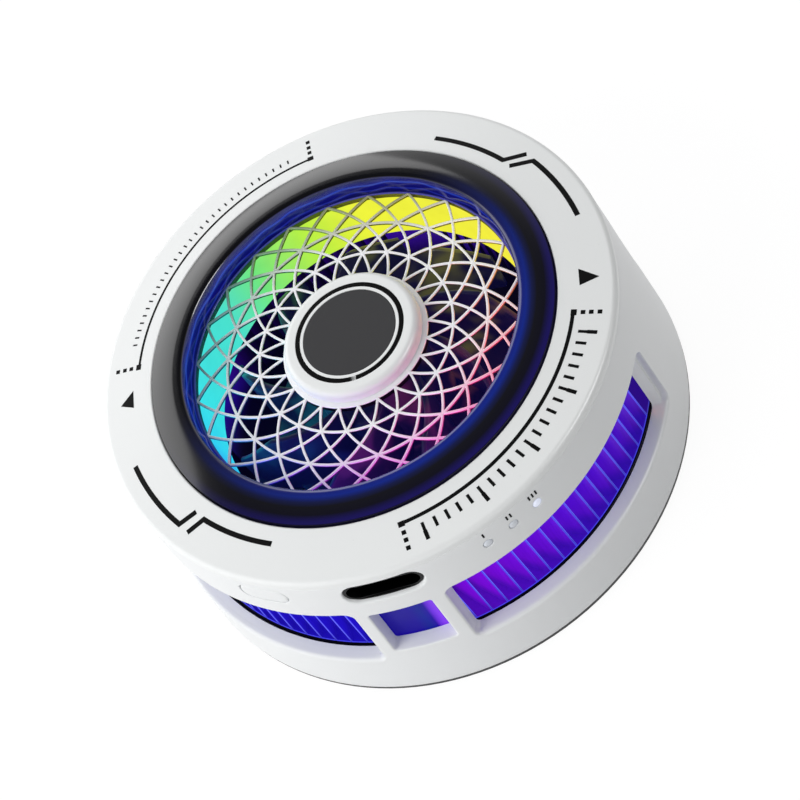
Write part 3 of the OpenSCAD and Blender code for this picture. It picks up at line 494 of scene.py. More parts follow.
def finish_maker(maker):
    """Lists a function under its own name as the maker of a finish."""
    FINISHES[maker.__name__] = maker
    return maker


# Hues of the lit ring by turn about the axis, from the negative x axis back round to it
RING_HUES = (
    (0.00, "#3ae0e4"), (0.05, "#30d2f0"), (0.10, "#2a9cf2"), (0.15, "#2c3cf0"), (0.22, "#c044dc"),
    (0.31, "#e848c8"), (0.39, "#f0509c"), (0.45, "#f86c76"), (0.51, "#fca45a"), (0.57, "#f4ec3e"),
    (0.74, "#ecf138"), (0.80, "#b4ef42"), (0.86, "#6ee57c"), (0.91, "#48e0cc"), (1.00, "#3ae0e4"),
)

# Hues of the fins' painted glow and colour, by turn about the axis, from the negative x axis back round to it
FIN_HUES = (
    (0.00, "#3a16b8"), (0.14, "#2a16c0"), (0.22, "#2c18c8"), (0.25, "#7a10cc"), (0.29, "#8a12d0"),
    (0.36, "#6414c8"), (0.45, "#4c16b6"), (0.60, "#5a14cc"), (0.85, "#5a14cc"), (1.00, "#3a16b8"),
)


def hue_round(tree, spot, stops):
    """Colour by turn about the axis; distance from it, height and flat place, all in millimetres."""
    scaled = node(tree, "ShaderNodeVectorMath", {0: spot, "Scale": 1 / MM}, operation="SCALE")
    parts = node(tree, "ShaderNodeSeparateXYZ", {0: scaled.outputs[0]})
    turn = node(tree, "ShaderNodeMath", {0: parts.outputs["Y"], 1: parts.outputs["X"]}, operation="ARCTAN2")
    share = node(tree, "ShaderNodeMapRange", {"Value": turn.outputs[0], "From Min": -math.pi,
                                              "From Max": math.pi})
    hue = node(tree, "ShaderNodeValToRGB", {"Fac": share.outputs[0]}, stops=stops)
    flat = node(tree, "ShaderNodeVectorMath", {0: scaled.outputs[0], 1: (1, 1, 0)}, operation="MULTIPLY")
    reach = node(tree, "ShaderNodeVectorMath", {0: flat.outputs[0]}, operation="LENGTH")
    return hue.outputs["Color"], reach.outputs["Value"], parts.outputs["Z"], flat.outputs[0]


def crossed(tree, value, start, end, first, second, most=1.0):
    """Colour that goes softly from a first one to most of a second as a value runs from start to end."""
    share = node(tree, "ShaderNodeMapRange", {"Value": value, "From Min": start, "From Max": end,
                                              "To Max": most}, interpolation_type="SMOOTHSTEP")
    return node(tree, "ShaderNodeMix", {"Factor": share.outputs[0], "A": first, "B": second},
                data_type="RGBA").outputs[2]


def cast_strength(tree, level, times):
    """Strength of a glow: a level as it is seen, and so many times that as light on other pieces."""
    path = node(tree, "ShaderNodeLightPath")
    seen = node(tree, "ShaderNodeMath", {0: path.outputs["Is Camera Ray"], 1: path.outputs["Is Glossy Ray"]},
                operation="MAXIMUM")
    cast = node(tree, "ShaderNodeMapRange", {"Value": seen.outputs[0], "To Min": times, "To Max": 1.0})
    return node(tree, "ShaderNodeMath", {0: level, 1: cast.outputs[0]}, operation="MULTIPLY").outputs[0]


# Radius at which the guard's lattice meets its rim
GUARD_RIM = 20.1
# Light that the lit band and the fins' painted glow cast on other pieces, as a multiple of how bright they look
GUIDE_CAST = 4.5
FIN_CAST = 0.35
# Directions of the sides on which the guard's face near the rim carries painted light of the ring and the
# smoked ring shows its painted glow
RING_LIGHT_PAINTED_SIDE = (0.53, -0.848, 0)
PAINTED_GLOW_SIDE = (0.6, -0.8, 0)


@finish_maker
def guard_abs(name):
    """White moulded ABS with painted shade on the bars' sides; near the rim the face carries painted light of
    the ring on one side and painted shade on the other, and a painted blue on the rim.
    """
    white = bpy.context.scene.cooler_colours.guard
    material, tree, surface, spot = shader(name, IOR=1.53, Roughness=0.3)
    hue, reach, height, flat = hue_round(tree, spot, RING_HUES)
    # How far a spot lies towards the side that carries the painted light of the ring
    toward = node(tree, "ShaderNodeVectorMath", {0: flat}, operation="NORMALIZE")
    near = node(tree, "ShaderNodeVectorMath", {0: toward.outputs[0], 1: RING_LIGHT_PAINTED_SIDE},
                operation="DOT_PRODUCT").outputs["Value"]
    outward = node(tree, "ShaderNodeMapRange", {"Value": reach, "From Min": 12.0, "From Max": 19.5},
                   interpolation_type="SMOOTHSTEP")
    facing = node(tree, "ShaderNodeMapRange", {"Value": near, "From Min": 0.45, "From Max": 0.95,
                                               "To Min": 0.1, "To Max": 0.65},
                  interpolation_type="SMOOTHSTEP")
    share = node(tree, "ShaderNodeMath", {0: outward.outputs[0], 1: facing.outputs[0]}, operation="MULTIPLY")
    # Painted light: near the rim on that side the face takes the ring's hue
    tinted = node(tree, "ShaderNodeMix", {"Factor": share.outputs[0], "A": white, "B": hue}, data_type="RGBA")
    # Painted shade: on the other side the face near the rim is darkened as if lit from behind
    backlit = node(tree, "ShaderNodeMapRange", {"Value": near, "From Min": -0.15, "From Max": -0.65,
                                                "To Max": 0.75}, interpolation_type="SMOOTHSTEP")
    dim = node(tree, "ShaderNodeMath", {0: outward.outputs[0], 1: backlit.outputs[0]}, operation="MULTIPLY")
    shade = node(tree, "ShaderNodeMix", {"Factor": 0.75, "A": hue, "B": linear("#0a0f14")}, data_type="RGBA")
    face = node(tree, "ShaderNodeMix", {"Factor": dim.outputs[0], "A": tinted.outputs[2],
                                        "B": shade.outputs[2]}, data_type="RGBA")
    # Painted light on the rim's top in the ring's blue, and painted shade on the bars' sides, near black with a
    # little of the ring's hue near the rim
    painted_edge_light = crossed(tree, reach, GUARD_RIM - 0.06, GUARD_RIM, face.outputs[2], linear("#3c3ab0"))
    side = crossed(tree, reach, 10.0, 20.0, linear("#05060f"), hue, 0.2)
    # Mask of the bars' upper face; the painted shade of the sides lies below it
    painted = node(tree, "ShaderNodeMapRange", {"Value": height, "From Min": GUARD_HIGH.z - 0.2,
                                                "From Max": GUARD_HIGH.z - 0.1},
                   interpolation_type="SMOOTHSTEP")
    tone = node(tree, "ShaderNodeMix", {"Factor": painted.outputs[0], "A": side, "B": painted_edge_light},
                data_type="RGBA")
    # A faint painted glow of the ring's hue where the face takes the painted light
    glow = node(tree, "ShaderNodeMath", {0: share.outputs[0], 1: painted.outputs[0]}, operation="MULTIPLY")
    level = node(tree, "ShaderNodeMath", {0: glow.outputs[0], 1: 0.28}, operation="MULTIPLY")
    tree.links.new(tone.outputs[2], surface.inputs["Base Color"])
    tree.links.new(hue, surface.inputs["Emission Color"])
    tree.links.new(level.outputs[0], surface.inputs["Emission Strength"])
    return material


@finish_maker
def lit_guide(name):
    """Frosted acrylic lit from its back edge: an even glow that runs through the rainbow round the ring."""
    material, tree, surface, spot = shader(name, Base_Color=linear("#181822"), Roughness=0.35, IOR=1.49)
    hue = hue_round(tree, spot, RING_HUES)[0]
    frost = node(tree, "ShaderNodeTexNoise", {"Vector": spot, "Scale": 1 / (3 * MM), "Detail": 2.0})
    level = node(tree, "ShaderNodeMapRange", {"Value": frost.outputs["Fac"], "To Min": 0.9, "To Max": 1.1})
    strength = cast_strength(tree, level.outputs[0], GUIDE_CAST)
    tree.links.new(hue, surface.inputs["Emission Color"])
    tree.links.new(strength, surface.inputs["Emission Strength"])
    return material


@finish_maker
def smoked_polycarbonate(name):
    """Polished smoked polycarbonate: deep gloss, and a glow that stands for the hidden lamps showing blue at
    both edges, painted on one side only, with painted reflection streaks on the inner wall.
    """
    tint = bpy.context.scene.cooler_colours.lens
    face = bpy.context.scene.cooler_face
    inner, outer = face.lens_inner / MM, face.lens_outer / MM
    material, tree, surface, spot = shader(name, Base_Color=tint, Roughness=0.14, IOR=1.65,
                                           Emission_Strength=0.7)
    reach, height, flat = hue_round(tree, spot, RING_HUES)[1:]
    share = node(tree, "ShaderNodeMapRange", {"Value": reach, "From Min": inner, "From Max": outer})
    band = node(tree, "ShaderNodeValToRGB", {"Fac": share.outputs[0]}, stops=(
        (0.0, "#0a0c6a"), (0.12, "#0c1c84"), (0.28, "#0e2a96"), (0.42, "#141c50"), (0.55, "#101018"),
        (0.75, "#0a0818"), (0.9, "#180f5c"), (0.97, "#1a1064"), (1.0, "#050318")))
    # The face's glow is painted on one side only and fades out towards the other
    side = node(tree, "ShaderNodeVectorMath", {0: flat, 1: PAINTED_GLOW_SIDE}, operation="DOT_PRODUCT")
    top = crossed(tree, side.outputs["Value"], -10.0, 20.0, linear("#000000"), band.outputs["Color"])
    # The inner wall's glow by height: dark blue, with two brighter wavy bands as painted reflection streaks
    ripple = node(tree, "ShaderNodeTexNoise", {"Vector": spot, "Scale": 1 / (5 * MM), "Detail": 1.0})
    wave = node(tree, "ShaderNodeMath", {0: ripple.outputs["Fac"], 1: 1.6, 2: height},
                operation="MULTIPLY_ADD")
    rise = node(tree, "ShaderNodeMapRange", {"Value": wave.outputs[0], "From Min": GUARD_HIGH.z + 0.5,
                                             "From Max": LENS_HIGH.z + 0.6})
    glow = node(tree, "ShaderNodeValToRGB", {"Fac": rise.outputs[0]}, stops=(
        (0.0, "#04043c"), (0.25, "#07076a"), (0.33, "#2430b0"), (0.38, "#08086e"), (0.6, "#0a0a84"),
        (0.68, "#2c4cd0"), (0.74, "#0c1490"), (1.0, "#060850")))
    tone = crossed(tree, reach, inner + 0.34, inner + 0.24, top, glow.outputs["Color"])
    tree.links.new(tone, surface.inputs["Emission Color"])
    return material


@finish_maker
def fan_plastic(name):
    """Moulded dark polycarbonate: blue-black and glossy, with a painted navy glow and painted glints in patches
    of the ring's colours.
    """
    material = moulded(name, "fan", 0.3, 0.6, 0.004, IOR=1.5, Emission_Strength=0.5)
    tree = material.node_tree
    spot = node(tree, "ShaderNodeTexCoord").outputs["Object"]
    hue = hue_round(tree, spot, RING_HUES)[0]
    # Painted glints: patches of the ring's colours over the painted navy glow
    glint_patch = node(tree, "ShaderNodeTexNoise", {"Vector": spot, "Scale": 1 / (5 * MM), "Detail": 1.0})
    glow = crossed(tree, glint_patch.outputs["Fac"], 0.5, 0.7, linear("#08093c"), hue, 0.14)
    tree.links.new(glow, tree.nodes["Principled BSDF"].inputs["Emission Color"])
    return material


@finish_maker
def violet_anodised(name):
    """Anodised extruded aluminium: violet to blue and drawn upright, with a painted glow, painted highlights on
    the fins' front edges and painted shade deep between the fins and on the floor in front of them.
    """
    fan = bpy.context.scene.cooler_fan
    floor = SINK_LOW.z + fan.sink_floor / MM
    start = fin_edge(fan, 0)
    material, tree, surface, spot = shader(name, Metallic=0.85, Roughness=0.34)
    hue, reach, height = hue_round(tree, spot, FIN_HUES)[:3]
    front = node(tree, "ShaderNodeMath", {0: height, 1: fin_edge(fan, 1) - start, 2: start},
                 operation="MULTIPLY_ADD")
    depth = node(tree, "ShaderNodeMath", {0: front.outputs[0], 1: reach}, operation="SUBTRACT").outputs[0]
    # Painted light in the fins' colour and glow: bluer towards the floor
    low = crossed(tree, height, floor + 2.6, floor, hue, linear("#22149c"), 0.6)
    # Painted shade deeper between the fins, a painted highlight on their front edges and painted shade on the
    # floor in front of them
    deep = crossed(tree, depth, 3.0, 9.0, low, linear("#060420"))
    painted_edge_light = crossed(tree, depth, 0.13, 0.06, deep, linear("#5656e4"))
    tone = crossed(tree, depth, -0.01, -0.05, painted_edge_light, linear("#04030e"))
    drawn = node(tree, "ShaderNodeMapping", {"Vector": spot, "Scale": (1, 1, 0.04)})
    streak = node(tree, "ShaderNodeTexNoise", {"Vector": drawn.outputs[0], "Scale": 1 / (0.25 * MM),
                                               "Detail": 2.0})
    level = node(tree, "ShaderNodeMapRange", {"Value": streak.outputs["Fac"], "To Min": 0.35, "To Max": 0.65})
    lines = node(tree, "ShaderNodeBump", {"Height": streak.outputs["Fac"], "Distance": 0.006 * MM,
                                          "Strength": 0.5})
    # The fins glow though they are no lamp: painted light
    strength = cast_strength(tree, level.outputs[0], FIN_CAST)
    tree.links.new(tone, surface.inputs["Base Color"])
    tree.links.new(tone, surface.inputs["Emission Color"])
    tree.links.new(strength, surface.inputs["Emission Strength"])
    tree.links.new(lines.outputs[0], surface.inputs["Normal"])
    return material


@finish_maker
def violet_acrylic(name):
    """Tinted acrylic with a painted glow: deep blue that turns to violet at one side."""
    material, tree, surface, spot = shader(name, Base_Color=linear("#0a0430"), Roughness=0.3, IOR=1.49,
                                           Specular_IOR_Level=0.08)
    parts = node(tree, "ShaderNodeSeparateXYZ", {0: spot})
    across = node(tree, "ShaderNodeMapRange", {"Value": parts.outputs["X"], "From Min": -3.5 * MM,
                                               "From Max": 3.5 * MM})
    hue = node(tree, "ShaderNodeValToRGB", {"Fac": across.outputs[0]}, stops=(
        (0.0, "#14088a"), (0.45, "#1a0a96"), (0.62, "#0a2090"), (0.72, "#1c0c9c"), (0.78, "#6a2ce0"),
        (0.86, "#8a40f8"), (1.0, "#7a38e8")))
    # The painted glow is uneven in clouds about 2.5 mm across
    cloud = node(tree, "ShaderNodeTexNoise", {"Vector": spot, "Scale": 1 / (2.5 * MM), "Detail": 2.0})
    level = node(tree, "ShaderNodeMapRange", {"Value": cloud.outputs["Fac"], "To Min": 0.75, "To Max": 1.05})
    tree.links.new(hue.outputs["Color"], surface.inputs["Emission Color"])
    tree.links.new(level.outputs[0], surface.inputs["Emission Strength"])
    return material


# CAD nodes that keep their own shape, with the finish of each
CARRIED = {
    "base_cover": "black_nylon", "cold_plate": "turned_aluminium", "magnets": "nickel_plating",
    "magnet_yoke": "mild_steel", "module_cold_face": "sintered_alumina",
    "module_legs": "thermoelectric_alloy", "module_hot_face": "sintered_alumina",
    "insulation_ring": "closed_cell_foam", "motor_base": "grey_nylon",
    "thrust_washer": "acetal", "bearing": "porous_bronze", "motor_board": "solder_mask",
    "stator_core": "mild_steel", "stator_coils": "enamelled_copper", "shaft": "mild_steel",
    "rotor_yoke": "mild_steel", "rotor_magnet": "pressed_ferrite", "deck": "grey_nylon",
    "led_board": "solder_mask", "rgb_leds": "lamp_plastic", "main_board": "solder_mask",
    "board_parts": "black_nylon", "indicator_leds": "lamp_plastic", "socket_shell": "dark_plated_steel",
    "socket_tongue": "black_nylon", "tact_switch": "black_nylon", "switch_plunger": "black_nylon",
    "fan_lead": "black_vinyl", "module_leads": "red_vinyl", "case_screws": "mild_steel",
    "motor_screws": "mild_steel",
}


def grown(name, mesh, tree, **values):
    """Plain mesh that a tree of geometry nodes makes from a base mesh."""
    seed = bpy.data.objects.new(name, mesh)
    bpy.context.scene.collection.objects.link(seed)
    modifier = seed.modifiers.new("Repeat", "NODES")
    modifier.node_group = tree
    for item in tree.interface.items_tree:
        if item.in_out == "INPUT" and item.name in values:
            modifier[item.identifier] = values[item.name]
    graph = bpy.context.evaluated_depsgraph_get()
    result = bpy.data.meshes.new_from_object(seed.evaluated_get(graph))
    bpy.data.objects.remove(seed)
    return result


def new_tree(name, **inputs):
    """Empty tree of geometry nodes with a mesh in, a mesh out and named inputs."""
    tree = bpy.data.node_groups.new(name, "GeometryNodeTree")
    tree.interface.new_socket("Geometry", in_out="INPUT", socket_type="NodeSocketGeometry")
    for label, kind in inputs.items():
        tree.interface.new_socket(label, in_out="INPUT", socket_type=kind)
    tree.interface.new_socket("Geometry", in_out="OUTPUT", socket_type="NodeSocketGeometry")
    return tree, node(tree, "NodeGroupInput")


def copies_round(tree, count, turn, shape, finish_name):
    """Copies a shape about the axis by a turn per copy, as plain faces with a finish."""
    spin = node(tree, "ShaderNodeCombineXYZ", {"Z": turn})
    centre = node(tree, "GeometryNodePoints", {"Count": count})
    copies = node(tree, "GeometryNodeInstanceOnPoints", {"Points": centre.outputs[0], "Instance": shape,
                                                         "Rotation": spin.outputs[0]})
    real = node(tree, "GeometryNodeRealizeInstances", {"Geometry": copies.outputs[0]})
    dressed = node(tree, "GeometryNodeSetMaterial", {"Geometry": real.outputs[0],
                                                     "Material": finish(finish_name)})
    node(tree, "NodeGroupOutput", {0: dressed.outputs[0]})
    return tree


def copies_by_step(tree, given, shape, finish_name):
    """Copies a shape about the axis from a first turn on, by a fixed step."""
    index = node(tree, "GeometryNodeInputIndex")
    turn = node(tree, "ShaderNodeMath", {0: index.outputs[0], 1: given.outputs["Step"],
                                         2: given.outputs["First"]}, operation="MULTIPLY_ADD")
    return copies_round(tree, given.outputs["Copies"], turn.outputs[0], shape, finish_name)


def ring_tree(finish_name):
    """Tree that sets copies of a shape round the axis at a fixed step."""
    tree, given = new_tree("ring_of_" + finish_name, Copies="NodeSocketInt", First="NodeSocketFloat",
                           Step="NodeSocketFloat")
    return copies_by_step(tree, given, given.outputs["Geometry"], finish_name)


def lattice_tree(finish_name):
    """Tree that makes rounded bars along lines and sets them round the axis."""
    tree, given = new_tree("guard_lattice", Copies="NodeSocketInt", First="NodeSocketFloat",
                           Step="NodeSocketFloat", Width="NodeSocketFloat", Depth="NodeSocketFloat",
                           Rounding="NodeSocketFloat")
    paths = node(tree, "GeometryNodeMeshToCurve", {"Mesh": given.outputs["Geometry"]})
    section = node(tree, "GeometryNodeCurvePrimitiveQuadrilateral", {"Width": given.outputs["Width"],
                                                                     "Height": given.outputs["Depth"]})
    soft = node(tree, "GeometryNodeFilletCurve", {"Curve": section.outputs[0], "Count": 3,
                                                  "Radius": given.outputs["Rounding"]}, mode="POLY")
    bars = node(tree, "GeometryNodeCurveToMesh", {"Curve": paths.outputs[0], "Profile Curve": soft.outputs[0],
                                                  "Fill Caps": True})
    return copies_by_step(tree, given, bars.outputs[0], finish_name)


def fin_tree(finish_name):
    """Tree that sets a row of fins behind each of four outlets, which mirror one another."""
    tree, given = new_tree("outlet_fins", Fins="NodeSocketInt", Pitch="NodeSocketFloat",
                           Middle="NodeSocketFloat")
    index = node(tree, "GeometryNodeInputIndex")
    share = node(tree, "ShaderNodeMath", {0: index.outputs[0], 1: given.outputs["Fins"]}, operation="DIVIDE")
    outlet = node(tree, "ShaderNodeMath", {0: share.outputs[0]}, operation="FLOOR")
    odd = node(tree, "ShaderNodeMath", {0: outlet.outputs[0], 1: 2.0}, operation="MODULO")
    sign = node(tree, "ShaderNodeMath", {0: odd.outputs[0], 1: -2.0, 2: 1.0}, operation="MULTIPLY_ADD")
    pair = node(tree, "ShaderNodeMath", {0: outlet.outputs[0], 1: 0.5}, operation="MULTIPLY")
    half = node(tree, "ShaderNodeMath", {0: pair.outputs[0]}, operation="CEIL")
    middle = node(tree, "ShaderNodeMath", {0: sign.outputs[0], 1: given.outputs["Middle"]},
                  operation="MULTIPLY")
    base = node(tree, "ShaderNodeMath", {0: half.outputs[0], 1: math.pi, 2: middle.outputs[0]},
                operation="MULTIPLY_ADD")
    fin = node(tree, "ShaderNodeMath", {0: index.outputs[0], 1: given.outputs["Fins"]}, operation="MODULO")
    span = node(tree, "ShaderNodeMath", {0: given.outputs["Fins"], 1: -0.5, 2: 0.5}, operation="MULTIPLY_ADD")
    offset = node(tree, "ShaderNodeMath", {0: fin.outputs[0], 1: span.outputs[0]})
    turn = node(tree, "ShaderNodeMath", {0: offset.outputs[0], 1: given.outputs["Pitch"],
                                         2: base.outputs[0]}, operation="MULTIPLY_ADD")
    total = node(tree, "ShaderNodeMath", {0: given.outputs["Fins"], 1: 4.0}, operation="MULTIPLY")
    return copies_round(tree, total.outputs[0], turn.outputs[0], given.outputs["Geometry"], finish_name)


# The wall is laid out flat, as arc length at this radius against height, and then wrapped
FLAT_R = 32.0
# Inner points of the wall's sheets keep this far from an opening, and points within this are welded
HOLE_MARGIN = 0.35
FLAT_WELD = 1e-6
# Columns of the wall's sheets, and the rows of its face and of its back
WALL_COLUMNS = 200
FACE_ROWS = 22
BACK_ROWS = 8
# Margin of flat wall round a lip, and the rounding of the edges at the seam under the bezel
LIP_MARGIN = 0.12
SEAM_EDGE = 0.08
# Steps of a rounded edge, and the least radius of a frame's corner
EDGE_STEPS = 4
LEAST_CORNER = 0.01
# Sizes of the small openings in the wall, and the slot's counts of points
SLOT_LIP = 0.42
SLOT_COUNTS = (10, 4, 8)
BUTTON_LIP = 0.1
PIPE_LIP = 0.08
PIPE_BEARINGS = (22.4, 28.5, 34.6)
PIPE_R = 0.55
BUTTON_BEARING = -26.0
BUTTON_W = 6.0


def wall_radius(height):
    """Outer radius of the side wall at a height."""
    share = (height - WALL_LOW.z) / (WALL_HIGH.z - WALL_LOW.z)
    return FOOT_R + (SEAM_R - FOOT_R) * share


def on_wall(along, height, depth=0.0):
    """Point of the wrapped wall, at a depth under its face."""
    return polar(math.degrees(along / FLAT_R), wall_radius(height) - depth, height)


def arc(bearing):
    """Arc length at the flat radius for a bearing in degrees."""
    return math.radians(bearing) * FLAT_R


class Frame:
    """A rounded rectangle on the flat wall: its left, right, low and high sides and its corners' radius."""

    def __init__(self, *sides):
        self.sides = sides

    def grown(self, margin):
        """The frame with each side moved outwards by a margin."""
        left, right, low, high, radius = self.sides
        corner = max(radius + margin, LEAST_CORNER)
        return Frame(left - margin, right + margin, low - margin, high + margin, corner)

    def towards(self, other, share):
        """The frame that lies a share of the way to another one."""
        return Frame(*(a + (b - a) * share for a, b in zip(self.sides, other.sides)))

    def points(self, counts):
        """Outline: counts are points along, points up and steps in a corner."""
        along, up, bend = counts
        left, right, low, high, radius = self.sides
        centres = ((right - radius, low + radius), (right - radius, high - radius),
                   (left + radius, high - radius), (left + radius, low + radius))
        outline = []
        for i, (x, y) in enumerate(centres):
            for k in range(bend + 1):
                turn = math.radians(90 * (i - 1 + k / bend))
                outline.append(Vector((x + radius * math.cos(turn), y + radius * math.sin(turn))))
            after = math.radians(90 * i)
            next_x, next_y = centres[(i + 1) % 4]
            start = outline[-1]
            end = Vector((next_x + radius * math.cos(after), next_y + radius * math.sin(after)))
            gaps = up if i % 2 == 0 else along
            outline.extend(start.lerp(end, k / gaps) for k in range(1, gaps))
        return outline

    def on_wall(self, counts, depth):
        """Outline wrapped on the wall at a depth under its face."""
        return [on_wall(p.x, p.y, depth) for p in self.points(counts)]

    def distance(self, x, y):
        """How far a point lies outside the outline; negative inside."""
        left, right, low, high, radius = self.sides
        dx = abs(x - (left + right) / 2) - (right - left) / 2 + radius
        dy = abs(y - (low + high) / 2) - (high - low) / 2 + radius
        return math.hypot(max(dx, 0), max(dy, 0)) + min(max(dx, dy), 0) - radius


def soft_lip(face, hole, drop, steps=4):
    """Frames with their depths for a rounded lip that turns from the wall's face into a smaller opening."""
    rings = [(face.grown(LIP_MARGIN), 0.0)]
    for k in range(steps + 1):
        turn = math.pi / 2 * k / steps
        rings.append((face.towards(hole, math.sin(turn)), drop * (1 - math.cos(turn))))
    return rings


def wall_sheet(openings, ring, low, high, depth, columns, rows):
    """Wrapped sheet of wall with holes at one ring of each opening."""
    half = math.pi * FLAT_R
    border = [(-half + 2 * half * i / columns, low) for i in range(columns)]
    border += [(half, low + (high - low) * i / rows) for i in range(rows)]
    border += [(half - 2 * half * i / columns, high) for i in range(columns)]
    border += [(-half, high - (high - low) * i / rows) for i in range(rows)]
    points = [Vector(p) for p in border]
    edges = [(i, (i + 1) % len(border)) for i in range(len(border))]
    holes = [rings[ring][0] for rings, counts in openings]
    for hole, (rings, counts) in zip(holes, openings):
        start = len(points)
        outline = hole.points(counts)
        points.extend(outline)
        edges.extend((start + i, start + (i + 1) % len(outline)) for i in range(len(outline)))
    for i in range(1, columns):
        for j in range(1, rows):
            x = -half + 2 * half * i / columns
            y = low + (high - low) * j / rows
            if all(hole.distance(x, y) > HOLE_MARGIN for hole in holes):
                points.append(Vector((x, y)))
    flat, _, faces = delaunay_2d_cdt(points, edges, [], 0, FLAT_WELD)[:3]
    kept = []
    for face in faces:
        x = sum(flat[i].x for i in face) / len(face)
        y = sum(flat[i].y for i in face) / len(face)
        if all(hole.distance(x, y) > 0 for hole in holes):
            kept.append(tuple(face))
    return [on_wall(p.x, p.y, depth) for p in flat], kept


def wall_opening(rings, counts):
    """Wrapped sides of an opening through the wall."""
    return loft([hole.on_wall(counts, depth) for hole, depth in rings], closed_ends=False)


def outlet_rings(wall, centre, side):
    """Rings of one outlet: a soft lip, a flat sill, a slanted near end and a far end with a ledge."""
    half = math.degrees(wall.outlet_span) / 2
    near = math.degrees(wall.frame_near)
    far = math.degrees(wall.frame_far)
    sill = wall.outlet_sill / MM
    step = wall.frame_step / MM

    def opening(first, last, low, high, radius):
        """Frame beyond the clear opening, by degrees at its ends and millimetres at sill and head."""
        ends = (arc(centre - side * (half + first)), arc(centre + side * (half + last)))
        return Frame(min(ends), max(ends), sill + low, SINK_HIGH.z + high, radius)

    mouth = opening(near, far, -wall.frame_low / MM, 0.05, 1.4)
    throat = opening(near - 0.5, far - 0.15, -0.04, -0.1, 0.9)
    rings = soft_lip(mouth, throat, wall.frame_lip / MM)
    # Behind the lip: how far the ends draw in, the rise of sill and head, the corners' radius and the depth
    for near_in, far_in, low, high, radius, depth in (
            (0.65, 0.2, -0.03, -0.15, 0.8, step), (0.67, 0.8, -0.03, -0.16, 0.7, step + 0.03),
            (0.72, 1.0, -0.02, -0.17, 0.7, step + 0.12), (1.3, 2.3, 0, -0.3, 0.6, wall.thickness / MM)):
        rings.append((opening(near - near_in, far - far_in, low, high, radius), depth))
    return rings


def slot_frame(wall):
    """Outline of the socket's slot on the flat wall."""
    fit = wall.fit / MM
    half = (SOCKET_HIGH.x + fit) * FLAT_R / wall_radius(SOCKET_Z)
    low, high = SOCKET_LOW.z - fit, SOCKET_HIGH.z + fit
    return Frame(-half, half, low, high, (high - low) / 2)


def wall_openings(wall):
    """All openings of the side wall, each as its rings and its counts of points."""
    through = wall.thickness / MM
    fit = wall.fit / MM
    middle = math.degrees(wall.outlet_middle)
    found = []
    for centre, side in ((middle, 1), (180 - middle, -1), (-middle, -1), (middle - 180, 1)):
        found.append((outlet_rings(wall, centre, side), (44, 12, 5)))
    span = math.degrees(wall.window_span) / 2
    edge = wall.edge / MM
    window = Frame(arc(-span), arc(span), wall.window_low / MM, wall.window_high / MM, 0.35)
    found.append((soft_lip(window.grown(edge), window, edge) + [(window, through)], (10, 12, 4)))
    slot = slot_frame(wall)
    left, right, low, high, radius = slot.sides
    # The slot's lip is broader below than above
    lip = Frame(left - 0.2, right + 0.2, low - 0.3, high + 0.1, radius + 0.18)
    found.append((soft_lip(lip, slot, SLOT_LIP) + [(slot, through)], SLOT_COUNTS))
    hole = button_frame(wall, fit)
    found.append((soft_lip(hole.grown(BUTTON_LIP), hole, BUTTON_LIP, 3) + [(hole, through)], (8, 4, 8)))
    for bearing in PIPE_BEARINGS:
        radius = PIPE_R + fit / 2
        centre = arc(bearing)
        hole = Frame(centre - radius, centre + radius, PIPE_Z - radius, PIPE_Z + radius, radius)
        found.append((soft_lip(hole.grown(PIPE_LIP), hole, PIPE_LIP, 3) + [(hole, through)], (2, 2, 4)))
    return found


def button_frame(wall, grow):
    """Outline of the button on the flat wall, grown by a margin."""
    half = (BUTTON_W / 2 + grow) * FLAT_R / wall_radius(SOCKET_Z)
    low, high = BUTTON_LOW.z - grow, BUTTON_HIGH.z + grow
    centre = arc(BUTTON_BEARING)
    return Frame(centre - half, centre + half, low, high, (high - low) / 2)


class COOLER_OT_side_wall(bpy.types.Operator):
    """Builds the side wall with its stepped outlets, socket slot and small holes"""
    bl_idname = "cooler.side_wall"
    bl_label = "Side wall"

    def execute(self, context):
        wall = context.scene.cooler_wall
        through = wall.thickness / MM
        openings = wall_openings(wall)
        foot = wall.foot_edge / MM
        low, high = WALL_LOW.z, WALL_HIGH.z
        shells = [wall_sheet(openings, 0, low + foot, high - SEAM_EDGE, 0, WALL_COLUMNS, FACE_ROWS)]
        shells.append(wall_sheet(openings, -1, low, high, through, WALL_COLUMNS, BACK_ROWS))
        shells.extend(wall_opening(rings, counts) for rings, counts in openings)
        half = math.pi * FLAT_R
        for edge, size, sign in ((low, foot, 1), (high, SEAM_EDGE, -1)):
            rims = []
            for k in range(EDGE_STEPS + 1):
                turn = math.pi / 2 * k / EDGE_STEPS
                rims.append((edge + sign * size * (1 - math.sin(turn)), size * (1 - math.cos(turn))))
            rims.append((edge, through))
            rings = [[on_wall(-half + 2 * half * i / WALL_COLUMNS, z, depth) for i in range(WALL_COLUMNS)]
                     for z, depth in rims]
            shells.append(loft(rings, closed_ends=False))
        place("side_wall", joined(*shells), "white_abs", "housing", "white_shell", "body_shell")
        return {"FINISHED"}


# Depth of the bezel's inner edge, and its gap round the lit ring's flange
BEZEL_LIP = 1.5
LENS_FIT = 0.15
# Heights of a printed film's top and foot over the surface under it
INK_TOP = 0.02
INK_FOOT = -0.05
# Degrees between the points of a printed arc, and the least cosine for which a bend is mitred
INK_STEP = 1.5
MITRE_LIMIT = 0.5


def bezel_height(face, radius):
    """Height of the bezel's top at a radius."""
    inner = face.bezel_inner / MM
    flat_end = SEAM_R - face.bezel_rim / MM
    return BEZEL_HIGH.z - face.rim_drop / MM * (radius - inner) / (flat_end - inner)


